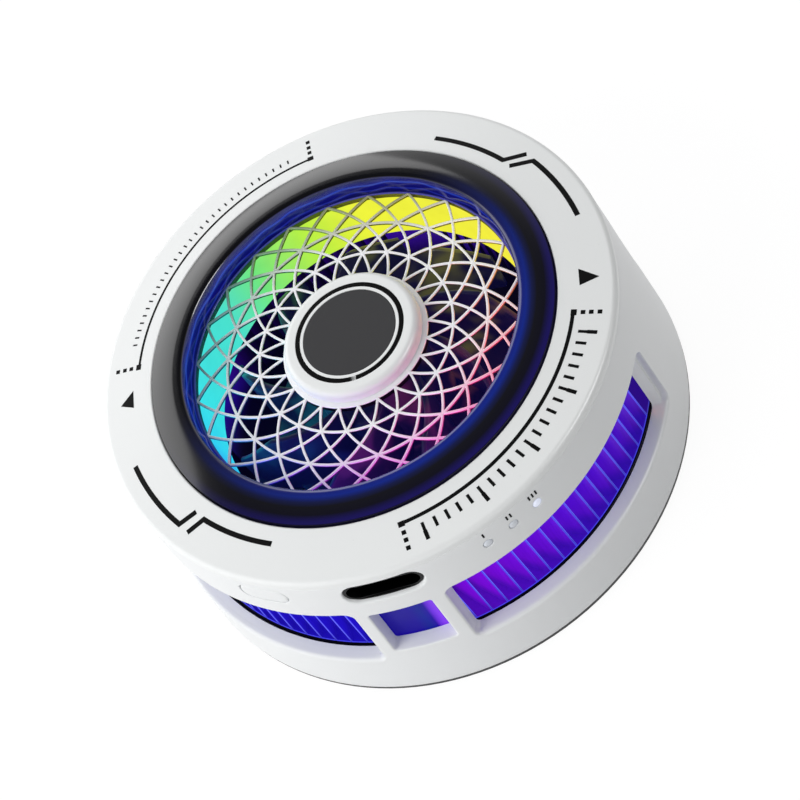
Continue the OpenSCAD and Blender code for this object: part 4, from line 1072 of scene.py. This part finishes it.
class COOLER_OT_bezel(bpy.types.Operator):
    """Turns the bezel with its rounded rim and the seam under it"""
    bl_idname = "cooler.bezel"
    bl_label = "Bezel"

    def execute(self, context):
        face = context.scene.cooler_face
        inner = face.bezel_inner / MM
        rim = face.bezel_rim / MM
        seam = WALL_HIGH.z
        top = BEZEL_HIGH.z
        ledge = LENS_HIGH.x + LENS_FIT
        outline = rounded([
            (inner, top - BEZEL_LIP, 0), (inner, top, 0.22), (SEAM_R, bezel_height(face, SEAM_R), rim),
            (SEAM_R, seam, SEAM_EDGE), (ledge, seam, 0), (ledge, top - BEZEL_LIP, 0),
        ], 8)
        place("bezel", lathe(outline), "bezel_abs", "housing", "white_bezel", "front_bezel")
        return {"FINISHED"}


def ink_strip(face, path, width):
    """Thin film along a path of bearings and radii on the bezel's top."""
    flat = [polar(b, r, 0) for b, r in path]
    rows = []
    for i, point in enumerate(flat):
        before = (point - flat[i - 1]).normalized() if i else None
        after = (flat[i + 1] - point).normalized() if i + 1 < len(flat) else None
        way = ((before or after) + (after or before)).normalized()
        bend = max(way.dot(after or before), MITRE_LIMIT)
        side = Vector((-way.y, way.x, 0)) * width / 2 / bend
        ring = []
        for shift, lift in ((side, INK_TOP), (-side, INK_TOP), (-side, INK_FOOT), (side, INK_FOOT)):
            spot = point + shift
            ring.append(Vector((spot.x, spot.y, bezel_height(face, spot.to_2d().length) + lift)))
        rows.append(ring)
    return loft(rows)


def ink_arc(radius, first, last):
    """Path of an arc on the bezel."""
    count = max(2, round(abs(last - first) / INK_STEP))
    return [(first + (last - first) * i / count, radius) for i in range(count + 1)]


def ink_patch(face, corners):
    """Thin film with straight sides between corners given as bearings and radii."""
    return loft([[polar(b, r, bezel_height(face, r) + lift) for b, r in corners]
                 for lift in (INK_FOOT, INK_TOP)])


class COOLER_OT_bezel_print(bpy.types.Operator):
    """Prints plain brackets, steps, arrows, dots and tick marks on the bezel"""
    bl_idname = "cooler.bezel_print"
    bl_label = "Bezel print"

    def execute(self, context):
        face = context.scene.cooler_face
        shells = []
        # Radii and widths: brackets with their end blocks and dots, stepped lines, and the arrows' foot
        bracket_r = 26.6
        block_rs, block_width = (26.35, 27.0), 0.75
        dot_rs, dot_size = (27.45, 28.35, 29.3), 0.5
        inner_rs, outer_rs, line_width = (26.8, 29.0), (26.6, 28.8), 0.6
        arrow_r = 27.2
        # Brackets: first and last bearing and width of the line, with a block and three dots at each end
        for first, last, width in ((8.9, 75.4, 0.42), (-173.6, -98.8, 0.3)):
            shells.append(ink_strip(face, ink_arc(bracket_r, first, last), width))
            for end, step in ((first, -0.4), (last, 0.6)):
                shells.append(ink_strip(face, [(end + step, radius) for radius in block_rs], block_width))
                for dot in dot_rs:
                    ends = [(end + step, dot), (end + step, dot + dot_size)]
                    shells.append(ink_strip(face, ends, dot_size))
        # Stepped lines: bearings of the inner and the outer arc, and how far round each one's slant runs
        for inner_end, inner_step, outer_step, outer_end, slip in (
                (151.0, 129.5, 123.1, 102.6, 3.6), (-24.1, -44.6, -49.5, -70.6, 1.7)):
            inner = ink_arc(inner_rs[0], inner_end, inner_step) + [(inner_step - slip, inner_rs[1])]
            outer = [(outer_step + slip, outer_rs[0])] + ink_arc(outer_rs[1], outer_step, outer_end)
            shells.append(ink_strip(face, inner, line_width))
            shells.append(ink_strip(face, outer, line_width))
        # Arrows: bearings of the foot's ends and of the tip, and the tip's radius
        for first, last, tip, reach in ((83.3, 87.9, 84.9, 29.4), (-91.6, -86.6, -88.4, 28.9)):
            shells.append(ink_patch(face, [(first, arrow_r), (tip, reach), (last, arrow_r)]))
        marks = solid("bezel_marks", joined(*shells))
        tree = ring_tree("printed_ink")
        ticks = []
        # Scales: first bearing, count and step of the ticks, their inner and outer radius and their width
        for first, count, step, inner, outer, width in (
                (13.0, 21, 2.9, 27.5, 28.7, 0.35), (13.0, 5, 14.5, 28.5, 29.6, 0.45),
                (-168.0, 31, 2.1, 27.5, 28.1, 0.2)):
            tick = solid("tick", ink_strip(face, [(0, inner), (0, outer)], width))
            ticks.append(grown("ticks", tick, tree, Copies=count, First=math.radians(first),
                               Step=math.radians(step)))
        place("bezel_print", merged("bezel_print", marks, *ticks), "printed_ink", "housing", "black_trim")
        return {"FINISHED"}


# How far and with what power the lit ring's crown falls to its inner and outer edge
INNER_FALL, INNER_POWER = 0.3, 6
OUTER_FALL, OUTER_POWER = 0.62, 1.5
# Thickness of the flanges of the lit ring and of the light guide
FLANGE = 0.6


class COOLER_OT_lens_ring(bpy.types.Operator):
    """Turns the smoked ring with its crowned top"""
    bl_idname = "cooler.lens_ring"
    bl_label = "Lit ring"

    def execute(self, context):
        face = context.scene.cooler_face
        inner = face.lens_inner / MM
        outer = face.lens_outer / MM
        crest = face.lens_crest / MM
        low, top = LENS_LOW.z, LENS_HIGH.z
        foot = inner + face.lens_lean / MM
        outline = [(inner, low)]
        steps = 16
        for k in range(steps + 1):
            share = 1 - k / steps
            outline.append((crest - (crest - foot) * share, top - INNER_FALL * share ** INNER_POWER))
        for k in range(1, steps + 1):
            share = k / steps
            outline.append((crest + (outer - crest) * share, top - OUTER_FALL * share ** OUTER_POWER))
        outline += [(outer, low + FLANGE), (LENS_HIGH.x, low + FLANGE), (LENS_HIGH.x, low)]
        place("smoked_ring", lathe(outline), "smoked_polycarbonate", "housing", "smoked_lens", "lens_ring")
        return {"FINISHED"}


# How far the two families of the guard's arms lie over and under their common middle
ARM_LIFT = 0.006
# Rows at which the arms cross, those that a ring runs through, and the steps from one row to the next
CROSSINGS = 5
RING_ROWS = (1, 3)
ROW_PARTS = 6
# How far an arm starts inside the hub plate, and how far it runs on past the last row, outwards and in rows
ARM_ROOT = 0.6
ARM_END = 0.4
ARM_OVERRUN = 0.2


class COOLER_OT_guard(bpy.types.Operator):
    """Grows the lattice of crossing arms between the hub plate and the rim"""
    bl_idname = "cooler.guard"
    bl_label = "Finger guard"

    def execute(self, context):
        guard = context.scene.cooler_guard
        first = guard.first_row / MM
        second = guard.second_row / MM
        step = guard.row_step / MM
        pitch = 360 / guard.bars
        middle = GUARD_HIGH.z - guard.bar_depth / MM / 2
        rows = [first] + [second + step * i for i in range(CROSSINGS)]
        points = []
        edges = []

        def draw(path, lift):
            """Adds a line through turns and radii at a height from the bars' middle."""
            start = len(points)
            points.extend(polar(90 + turn, radius, middle + lift) * MM for turn, radius in path)
            edges.extend((start + i, start + i + 1) for i in range(len(path) - 1))

        for sign, lift in ((1, ARM_LIFT), (-1, -ARM_LIFT)):
            path = [(0, first - ARM_ROOT)]
            for i in range(len(rows) - 1):
                for k in range(ROW_PARTS):
                    share = k / ROW_PARTS
                    path.append((sign * pitch / 2 * (i + share), rows[i] + (rows[i + 1] - rows[i]) * share))
            path.append((sign * pitch / 2 * (CROSSINGS + ARM_OVERRUN), rows[-1] + ARM_END))
            draw(path, lift)
        for row in RING_ROWS:
            draw([(pitch / 2 * row + pitch * k / ROW_PARTS, rows[row]) for k in range(ROW_PARTS + 1)], 0)
        lines = bpy.data.meshes.new("guard_lines")
        lines.from_pydata(points, edges, [])
        bars = grown("guard_bars", lines, lattice_tree("guard_abs"), Copies=guard.bars, First=guard.turn,
                     Step=math.radians(pitch), Width=guard.bar_width, Depth=guard.bar_depth,
                     Rounding=guard.bar_edge)
        plate = lathe(rounded([(0, GUARD_LOW.z, 0), (first, GUARD_LOW.z, 0.12), (first, GUARD_HIGH.z, 0.12),
                               (0, GUARD_HIGH.z, 0)]))
        rim = lathe(rounded([(rows[-1], GUARD_LOW.z, 0.1), (GUARD_HIGH.x, GUARD_LOW.z, 0),
                             (GUARD_HIGH.x, GUARD_HIGH.z, 0), (rows[-1], GUARD_HIGH.z, 0.1)]))
        body = solid("guard_plate", joined(plate, rim))
        place("finger_guard", merged("finger_guard", bars, body), "guard_abs", "housing", "white_guard",
              "fan_guard")
        return {"FINISHED"}


# Gap beside the hub's trim and disc, how far the disc is drawn in, and how far the trim stands up
HUB_FIT = 0.02
DISC_FIT = 0.03
TRIM_RISE = 0.02


class COOLER_OT_hub(bpy.types.Operator):
    """Turns the hub boss, its black trim and its grey disc"""
    bl_idname = "cooler.hub"
    bl_label = "Hub"

    def execute(self, context):
        face = context.scene.cooler_face
        top = CAP_HIGH.z
        low = CAP_LOW.z
        recess = DISC_LOW.z
        disc = DISC_HIGH.x - DISC_FIT
        trim_out = TRIM_HIGH.x
        trim_in = trim_out - face.trim_width / MM
        boss = rounded([
            (0, low, 0), (CAP_HIGH.x, low, 0.1), (CAP_HIGH.x, top, 0.8),
            (trim_out + HUB_FIT, top, 0.03), (trim_out + HUB_FIT, recess, 0),
            (trim_in - HUB_FIT, recess, 0), (trim_in - HUB_FIT, top, 0.02),
            (disc + HUB_FIT, top, 0.02), (disc + HUB_FIT, recess, 0), (0, recess, 0),
        ], 8)
        place("hub_boss", lathe(boss), "bezel_abs", "housing", "white_bezel", "hub_cap")
        trim = rounded([(trim_in, recess, 0), (trim_out, recess, 0), (trim_out, top + TRIM_RISE, 0.04),
                        (trim_in, top + TRIM_RISE, 0.04)], 3)
        gap = math.degrees(face.trim_gap)
        place("hub_trim", lathe(trim, gap / 2, 360 - gap), "gloss_black", "housing", "black_trim",
              "hub_trim_ring")
        plate = rounded([(0, recess, 0), (disc, recess, 0), (disc, top, 0.12), (0, top, 0)], 4)
        place("hub_plate", lathe(plate), "satin_disc", "housing", "grey_disc", "hub_disc")
        return {"FINISHED"}


class COOLER_OT_light_guide(bpy.types.Operator):
    """Turns the lit band under the guard"""
    bl_idname = "cooler.light_guide"
    bl_label = "Light guide"

    def execute(self, context):
        face = context.scene.cooler_face
        inner = face.guide_inner / MM
        outer = inner + face.guide_wall / MM
        low, top = GUIDE_LOW.z, GUIDE_HIGH.z
        outline = rounded([(inner, low, 0.2), (outer, low, 0.1), (outer, top - FLANGE, 0),
                           (GUIDE_HIGH.x, top - FLANGE, 0), (GUIDE_HIGH.x, top, 0), (inner, top, 0.1)], 4)
        place("lit_band", lathe(outline), "lit_guide", "housing", "light_guide", "light_guide")
        return {"FINISHED"}


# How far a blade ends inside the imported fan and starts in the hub, and the share where its top begins to fall
TIP_GAP = 0.15
ROOT_DEPTH = 0.4
CLIP_START = 0.64
# How much of its thickness a blade's side loses by the tip, and the step that gives a blade's direction
THINNING = 0.12
WAY_STEP = 0.02


class COOLER_OT_fan(bpy.types.Operator):
    """Grows the swept blades round the fan's hub and back plate"""
    bl_idname = "cooler.fan"
    bl_label = "Fan"

    def execute(self, context):
        fan = context.scene.cooler_fan
        low, top = FAN_LOW.z, FAN_HIGH.z
        hub = fan.hub_radius / MM
        tip = FAN_HIGH.x - TIP_GAP
        root = hub - ROOT_DEPTH
        sweep = math.degrees(fan.sweep)
        thick = fan.blade_thickness / MM
        steps = 16
        rings = []

        def middle(share):
            """Point of a blade's middle line at a share of its length."""
            return polar(90 - sweep * share, root + (tip - root) * share, 0)

        for i in range(steps + 1):
            share = i / steps
            way = middle(min(share + WAY_STEP, 1)) - middle(max(share - WAY_STEP, 0))
            side = Vector((-way.y, way.x, 0)).normalized() * thick * (0.5 - THINNING * share)
            drop = fan.tip_clip / MM * max(0, (share - CLIP_START) / (1 - CLIP_START))
            crown = top - drop
            # Section: shares of the half thickness and heights, along the foot and back over the crown
            section = ((-1, low), (1, low), (1, crown - 0.35), (0.85, crown - 0.14), (0.45, crown - 0.03),
                       (0, crown), (-0.45, crown - 0.03), (-0.85, crown - 0.14), (-1, crown - 0.35))
            rings.append([middle(share) + side * x + Vector((0, 0, z)) for x, z in section])
        blade = solid("blade", loft(rings))
        blades = grown("blades", blade, ring_tree("fan_plastic"), Copies=fan.blades, First=0.0,
                       Step=2 * math.pi / fan.blades)
        crown = fan.hub_top / MM
        plate = fan.plate_radius / MM
        plate_top = low + fan.plate_thickness / MM
        body = lathe(rounded([(0, low, 0), (plate, low, 0.2), (plate, plate_top, 0.3), (hub, plate_top, 0.8),
                              (hub, crown, 1.4), (0, crown, 0)], 6))
        place("fan", merged("fan", blades, solid("fan_hub", body)), "fan_plastic", "rotor", "dark_fan",
              "impeller")
        return {"FINISHED"}


def fin_edge(fan, height):
    """Radius of the fins' outer edges at a height."""
    return wall_radius(height) - (bpy.context.scene.cooler_wall.thickness + fan.fin_gap) / MM


# Depth of the fins' foot in the heat sink's floor
FIN_ROOT = 0.2


class COOLER_OT_fins(bpy.types.Operator):
    """Grows the rows of leaning fins behind the outlets on the heat sink's floor"""
    bl_idname = "cooler.fins"
    bl_label = "Heat sink"

    def execute(self, context):
        fan = context.scene.cooler_fan
        wall = context.scene.cooler_wall
        floor = SINK_LOW.z + fan.sink_floor / MM
        top = SINK_HIGH.z
        half = fan.fin_thickness / MM / 2
        tip = fan.fin_tip / MM / 2
        taper = fan.fin_taper / MM
        front = fin_edge(fan, floor)
        lean = Quaternion((0, 0, 1), math.pi + fan.fin_lean - math.pi / 2)

        def along(radius):
            """Distance along the fin from its foot's front to a radius."""
            across = front * math.sin(fan.fin_lean)
            return front * math.cos(fan.fin_lean) - math.sqrt(radius ** 2 - across ** 2)

        end = along(fan.fin_inner / MM)
        rings = []
        for z in (floor - FIN_ROOT, floor, (floor + top) / 2, top):
            start = along(fin_edge(fan, z))
            outline = [(start, -tip), (start + taper, -half), (end, -half),
                       (end, half), (start + taper, half), (start, tip)]
            rings.append([polar(0, front, z) + lean @ Vector((x, y, 0)) for x, y in outline])
        fin = solid("fin", loft(rings))
        fins = grown("fins", fin, fin_tree("violet_anodised"), Fins=fan.fins, Pitch=fan.fin_pitch,
                     Middle=wall.outlet_middle)
        base = lathe(rounded([(0, SINK_LOW.z, 0), (SINK_HIGH.x, SINK_LOW.z, 0.2), (SINK_HIGH.x, floor, 0.2),
                              (0, floor, 0)], 3))
        place("cooling_fins", merged("cooling_fins", fins, solid("sink_floor", base)), "violet_anodised",
              "housing", "violet_aluminium", "heat_sink")
        return {"FINISHED"}


# Gap behind the wall, thickness and steps along the arc of the small window's insert
WINDOW_GAP = 0.15
WINDOW_THICKNESS = 0.8
WINDOW_STEPS = 24


class COOLER_OT_front_window(bpy.types.Operator):
    """Turns the tinted insert behind the small window"""
    bl_idname = "cooler.front_window"
    bl_label = "Front window"

    def execute(self, context):
        wall = context.scene.cooler_wall
        low, top = WINDOW_LOW.z, WINDOW_HIGH.z
        back = wall.thickness / MM + WINDOW_GAP
        span = math.degrees(math.asin(WINDOW_HIGH.x / -WINDOW_LOW.y))
        foot, head = wall_radius(low) - back, wall_radius(top) - back
        outline = rounded([(foot, low, 0.1), (head, top, 0.1), (head - WINDOW_THICKNESS, top, 0),
                           (foot - WINDOW_THICKNESS, low, 0)], 3)
        place("tinted_window", lathe(outline, -span, 2 * span, WINDOW_STEPS), "violet_acrylic", "housing",
              "violet_window", "front_window")
        return {"FINISHED"}


class COOLER_OT_button(bpy.types.Operator):
    """Lofts the pill-shaped button flush with the wall"""
    bl_idname = "cooler.button"
    bl_label = "Button"

    def execute(self, context):
        outline = button_frame(context.scene.cooler_wall, 0)
        counts = (10, 4, 8)
        rings = []
        # From the back to the middle of the face: growth of the outline and depth under the wall's face
        for grow, depth in ((0, 2.4), (0, 0.22), (-0.05, 0.1), (-0.13, 0.035), (-0.24, 0.005), (-0.34, 0.0),
                            (-0.7, 0.0), (-1.1, 0.0)):
            rings.append(outline.grown(grow).on_wall(counts, depth))
        place("push_button", loft(rings), "white_abs", "button", "white_shell", "mode_button")
        return {"FINISHED"}


# How far the black sleeve, a sheet of painted shade, lies inside the slot, outside and inside, behind the lip
# and short of the wall's back
SLEEVE_OUTER = 0.01
SLEEVE_INNER = 0.1
SLEEVE_FRONT = 0.02
SLEEVE_BACK = 0.05


class COOLER_OT_slot_shade_sleeve(bpy.types.Operator):
    """Lofts a black sleeve into the socket's slot as painted shade inside it"""
    bl_idname = "cooler.socket_gasket"
    bl_label = "Socket gasket"

    def execute(self, context):
        wall = context.scene.cooler_wall
        outer = slot_frame(wall).grown(-SLEEVE_OUTER)
        inner = slot_frame(wall).grown(-SLEEVE_INNER)
        front, back = SLOT_LIP + SLEEVE_FRONT, wall.thickness / MM - SLEEVE_BACK
        rings = [ring.on_wall(SLOT_COUNTS, depth) for ring, depth in (
            (outer, front), (inner, front), (inner, back), (outer, back), (outer, front))]
        place("socket_gasket", loft(rings, closed_ends=False), "black_nylon", "housing", "dark_plastic")
        return {"FINISHED"}


# Length and sides of an indicator light
PIPE_LENGTH = 3.0
PIPE_SIDES = 20
# Marks over the lights: step from bar to bar, half width, foot and head over the light, and corner
MARK_STEP = 0.5
MARK_HALF = 0.11
MARK_FOOT = 1.25
MARK_HEAD = 1.95
MARK_CORNER = 0.06


class COOLER_OT_indicators(bpy.types.Operator):
    """Turns the indicator lights and prints a plain mark over each"""
    bl_idname = "cooler.indicators"
    bl_label = "Indicator lights"

    def execute(self, context):
        reach = wall_radius(PIPE_Z)
        back = reach - PIPE_LENGTH
        shells = []
        for bearing in PIPE_BEARINGS:
            out = polar(bearing, 1, 0)
            side = polar(bearing + 90, 1, 0)
            rings = []
            for radius, along in ((PIPE_R, back), (PIPE_R, reach - 0.1), (0.5, reach - 0.02),
                                  (0.38, reach + 0.04), (0.2, reach + 0.07), (0.04, reach + 0.08)):
                ring = []
                for k in range(PIPE_SIDES):
                    turn = 2 * math.pi * k / PIPE_SIDES
                    ring.append(out * along + side * radius * math.cos(turn)
                                + Vector((0, 0, PIPE_Z + radius * math.sin(turn))))
                rings.append(ring)
            shells.append(loft(rings))
        place("indicator_lights", joined(*shells[:2]), "clear_acrylic", "housing", "clear_pipe",
              "light_pipes")
        place("indicator_light_on", shells[2], "lit_acrylic", "housing", "clear_pipe")
        bars = []
        for i, bearing in enumerate(PIPE_BEARINGS):
            for k in range(i + 1):
                centre = arc(bearing) + (k - i / 2) * MARK_STEP
                mark = Frame(centre - MARK_HALF, centre + MARK_HALF, PIPE_Z + MARK_FOOT, PIPE_Z + MARK_HEAD,
                             MARK_CORNER)
                bars.append(loft([mark.on_wall((2, 2, 2), depth) for depth in (-INK_FOOT, -INK_TOP)]))
        place("indicator_marks", joined(*bars), "printed_ink", "housing", "black_trim")
        return {"FINISHED"}


# Gap between the soft pad and the grip ring, count of its ribs and depth of the grooves between them
GRIP_GAP = 2.0
RIBS = 4
GROOVE = 0.2
# Shares of the way from rib to rib at which a crest ends, its side meets the groove and the groove ends
RIB_SHARES = (0.6, 0.62, 0.98)


class COOLER_OT_contact_face(bpy.types.Operator):
    """Turns the ribbed grip ring and the soft pad that lie on the phone"""
    bl_idname = "cooler.contact_face"
    bl_label = "Contact face"

    def execute(self, context):
        low, top = GRIP_LOW.z, GRIP_HIGH.z
        outer = GRIP_HIGH.x
        pad = PAD_HIGH.x
        inner = pad + GRIP_GAP
        outline = [(inner, top, 0)]
        width = (outer - inner) / RIBS
        for k in range(RIBS):
            start = inner + k * width
            crest, foot, end = (start + width * share for share in RIB_SHARES)
            outline += [(start, low, 0.12), (crest, low, 0.12)]
            outline += [(foot, low + GROOVE, 0), (end, low + GROOVE, 0)]
        outline += [(outer, low + GROOVE, 0.1), (outer, top, 0)]
        place("grip_pad", lathe(rounded(outline, 3)), "moulded_silicone", "housing", "grip_silicone",
              "grip_ring")
        plate = rounded([(0, PAD_LOW.z, 0), (pad, PAD_LOW.z, 0.15), (pad, PAD_HIGH.z, 0.05),
                         (0, PAD_HIGH.z, 0)], 3)
        place("soft_pad", lathe(plate), "filled_silicone", "housing", "thermal_silicone", "thermal_pad")
        return {"FINISHED"}


class COOLER_OT_inner_parts(bpy.types.Operator):
    """Gives each carried-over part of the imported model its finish"""
    bl_idname = "cooler.inner_parts"
    bl_label = "Inner parts"

    def execute(self, context):
        for name, finish_name in CARRIED.items():
            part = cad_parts[name]
            for slot in part.material_slots:
                slot.material = finish(finish_name)
        return {"FINISHED"}


# Point that the camera looks at, its height taken from the bezel's top
CAMERA_AIM = (3.35, -7.08, BEZEL_HIGH.z - 6.0)
# Nearest distance that the camera shows
CLIP_NEAR = 10
# Distance of the lamps
LAMP_REACH = 600
# The floor's half width, its drop under the object, and the share of its look that is a plain glow
FLOOR_REACH = 1500
FLOOR_DROP = 0.02
FLOOR_GLOW = 0.85


class COOLER_OT_stage(bpy.types.Operator):
    """Sets the camera, the soft light and the pale floor"""
    bl_idname = "cooler.stage"
    bl_label = "Stage"

    def soft_lamp(self, scene, name, power, size, bearing, elevation):
        """Aims a wide lamp of a width and a height in millimetres at the object."""
        lamp = bpy.data.lights.new(name, "AREA")
        lamp.shape = "RECTANGLE"
        lamp.size, lamp.size_y = size[0] * MM, size[1] * MM
        lamp.energy = power
        light = bpy.data.objects.new(name, lamp)
        scene.collection.objects.link(light)
        height = math.radians(elevation)
        side = polar(bearing, math.cos(height), math.sin(height))
        light.location = side * LAMP_REACH * MM
        light.rotation_mode = "QUATERNION"
        light.rotation_quaternion = (-side).to_track_quat("-Z", "Y")
        light.visible_camera = False
        return light

    def execute(self, context):
        scene = context.scene
        stage = scene.cooler_stage
        scene.view_settings.view_transform = "Standard"
        target = Vector(CAMERA_AIM) * MM
        aim = polar(math.degrees(stage.azimuth), math.cos(stage.elevation), math.sin(stage.elevation))
        lens = bpy.data.cameras.new("camera")
        lens.lens = stage.lens
        lens.clip_start = CLIP_NEAR * MM
        camera = bpy.data.objects.new("camera", lens)
        scene.collection.objects.link(camera)
        camera.location = target + aim * stage.distance
        camera.rotation_mode = "QUATERNION"
        camera.rotation_quaternion = (-aim).to_track_quat("-Z", "Y") @ Quaternion((0, 0, 1), stage.roll)
        scene.camera = camera

        key = self.soft_lamp(scene, "key_lamp", stage.key, size=(400, 400), bearing=-50, elevation=35)
        key.visible_glossy = False
        edge = self.soft_lamp(scene, "edge_lamp", stage.edge, size=(280, 180), bearing=80, elevation=38)
        edge.visible_diffuse = False
        self.soft_lamp(scene, "back_lamp", stage.back, size=(720, 340), bearing=222, elevation=31)

        world = bpy.data.worlds.new("studio")
        world.use_nodes = True
        tree = world.node_tree
        tree.nodes.clear()
        path = node(tree, "ShaderNodeLightPath")
        shown = node(tree, "ShaderNodeMath", {0: path.outputs["Is Camera Ray"],
                                              1: path.outputs["Is Transmission Ray"]}, operation="MAXIMUM")
        level = node(tree, "ShaderNodeMapRange", {"Value": shown.outputs[0], "To Min": stage.sky,
                                                  "To Max": 1.0})
        way = node(tree, "ShaderNodeTexCoord").outputs["Generated"]
        height = node(tree, "ShaderNodeSeparateXYZ", {0: way}).outputs["Z"]
        studio = node(tree, "ShaderNodeMapRange", {"Value": height, "From Min": 0.2, "From Max": 0.8,
                                                   "To Min": 1.0, "To Max": 0.06},
                      interpolation_type="SMOOTHSTEP")
        strength = node(tree, "ShaderNodeMix", {"Factor": path.outputs["Is Glossy Ray"],
                                                "A": level.outputs[0], "B": studio.outputs[0]})
        sky = node(tree, "ShaderNodeBackground", {"Color": linear("#ffffff"),
                                                  "Strength": strength.outputs[0]})
        node(tree, "ShaderNodeOutputWorld", {"Surface": sky.outputs[0]})
        scene.world = world

        floor_mesh = bpy.data.meshes.new("floor")
        reach = FLOOR_REACH * MM
        depth = -FLOOR_DROP * MM
        floor_mesh.from_pydata([(-reach, -reach, depth), (reach, -reach, depth), (reach, reach, depth),
                                (-reach, reach, depth)], [], [(0, 1, 2, 3)])
        floor = bpy.data.objects.new("floor", floor_mesh)
        scene.collection.objects.link(floor)
        paper = bpy.data.materials.new("studio_paper")
        paper.use_nodes = True
        tree = paper.node_tree
        tree.nodes.clear()
        path = node(tree, "ShaderNodeLightPath")
        seen = node(tree, "ShaderNodeMath", {0: path.outputs["Is Camera Ray"],
                                             1: path.outputs["Is Glossy Ray"]}, operation="MAXIMUM")
        share = node(tree, "ShaderNodeMath", {0: seen.outputs[0], 1: FLOOR_GLOW}, operation="MULTIPLY")
        sheet = node(tree, "ShaderNodeBsdfDiffuse", {"Color": linear("#d0d0d0")})
        white = node(tree, "ShaderNodeEmission", {"Color": linear("#ffffff"), "Strength": 1.1})
        mix = node(tree, "ShaderNodeMixShader", {0: share.outputs[0], 1: sheet.outputs[0],
                                                 2: white.outputs[0]})
        node(tree, "ShaderNodeOutputMaterial", {"Surface": mix.outputs[0]})
        floor_mesh.materials.append(paper)
        return {"FINISHED"}


STEPS = (
    COOLER_OT_stage, COOLER_OT_side_wall, COOLER_OT_bezel, COOLER_OT_bezel_print, COOLER_OT_lens_ring,
    COOLER_OT_guard, COOLER_OT_hub, COOLER_OT_light_guide, COOLER_OT_fan, COOLER_OT_fins,
    COOLER_OT_front_window, COOLER_OT_button, COOLER_OT_slot_shade_sleeve, COOLER_OT_indicators,
    COOLER_OT_contact_face, COOLER_OT_inner_parts,
)


class COOLER_PT_panel(bpy.types.Panel):
    """Lists the steps that dress the cooler"""
    bl_idname = "COOLER_PT_panel"
    bl_label = "Phone cooler"
    bl_space_type = "VIEW_3D"
    bl_region_type = "UI"
    bl_category = "Cooler"

    def draw(self, context):
        for step in STEPS:
            self.layout.operator(step.bl_idname)


def register():
    """Registers the settings, the steps and the panel."""
    for name, group in GROUPS.items():
        bpy.utils.register_class(group)
        setattr(bpy.types.Scene, name, PointerProperty(type=group))
    for step in STEPS:
        bpy.utils.register_class(step)
    bpy.utils.register_class(COOLER_PT_panel)


def unregister():
    """Removes the panel, the steps and the settings."""
    bpy.utils.unregister_class(COOLER_PT_panel)
    for step in reversed(STEPS):
        bpy.utils.unregister_class(step)
    for name, group in reversed(GROUPS.items()):
        delattr(bpy.types.Scene, name)
        bpy.utils.unregister_class(group)


def main():
    """Dresses the cooler step by step."""
    register()
    bpy.ops.cooler.stage()
    bpy.ops.cooler.side_wall()
    bpy.ops.cooler.bezel()
    bpy.ops.cooler.bezel_print()
    bpy.ops.cooler.lens_ring()
    bpy.ops.cooler.guard()
    bpy.ops.cooler.hub()
    bpy.ops.cooler.light_guide()
    bpy.ops.cooler.fan()
    bpy.ops.cooler.fins()
    bpy.ops.cooler.front_window()
    bpy.ops.cooler.button()
    bpy.ops.cooler.socket_gasket()
    bpy.ops.cooler.indicators()
    bpy.ops.cooler.contact_face()
    bpy.ops.cooler.inner_parts()


if __name__ == "__main__":
    main()
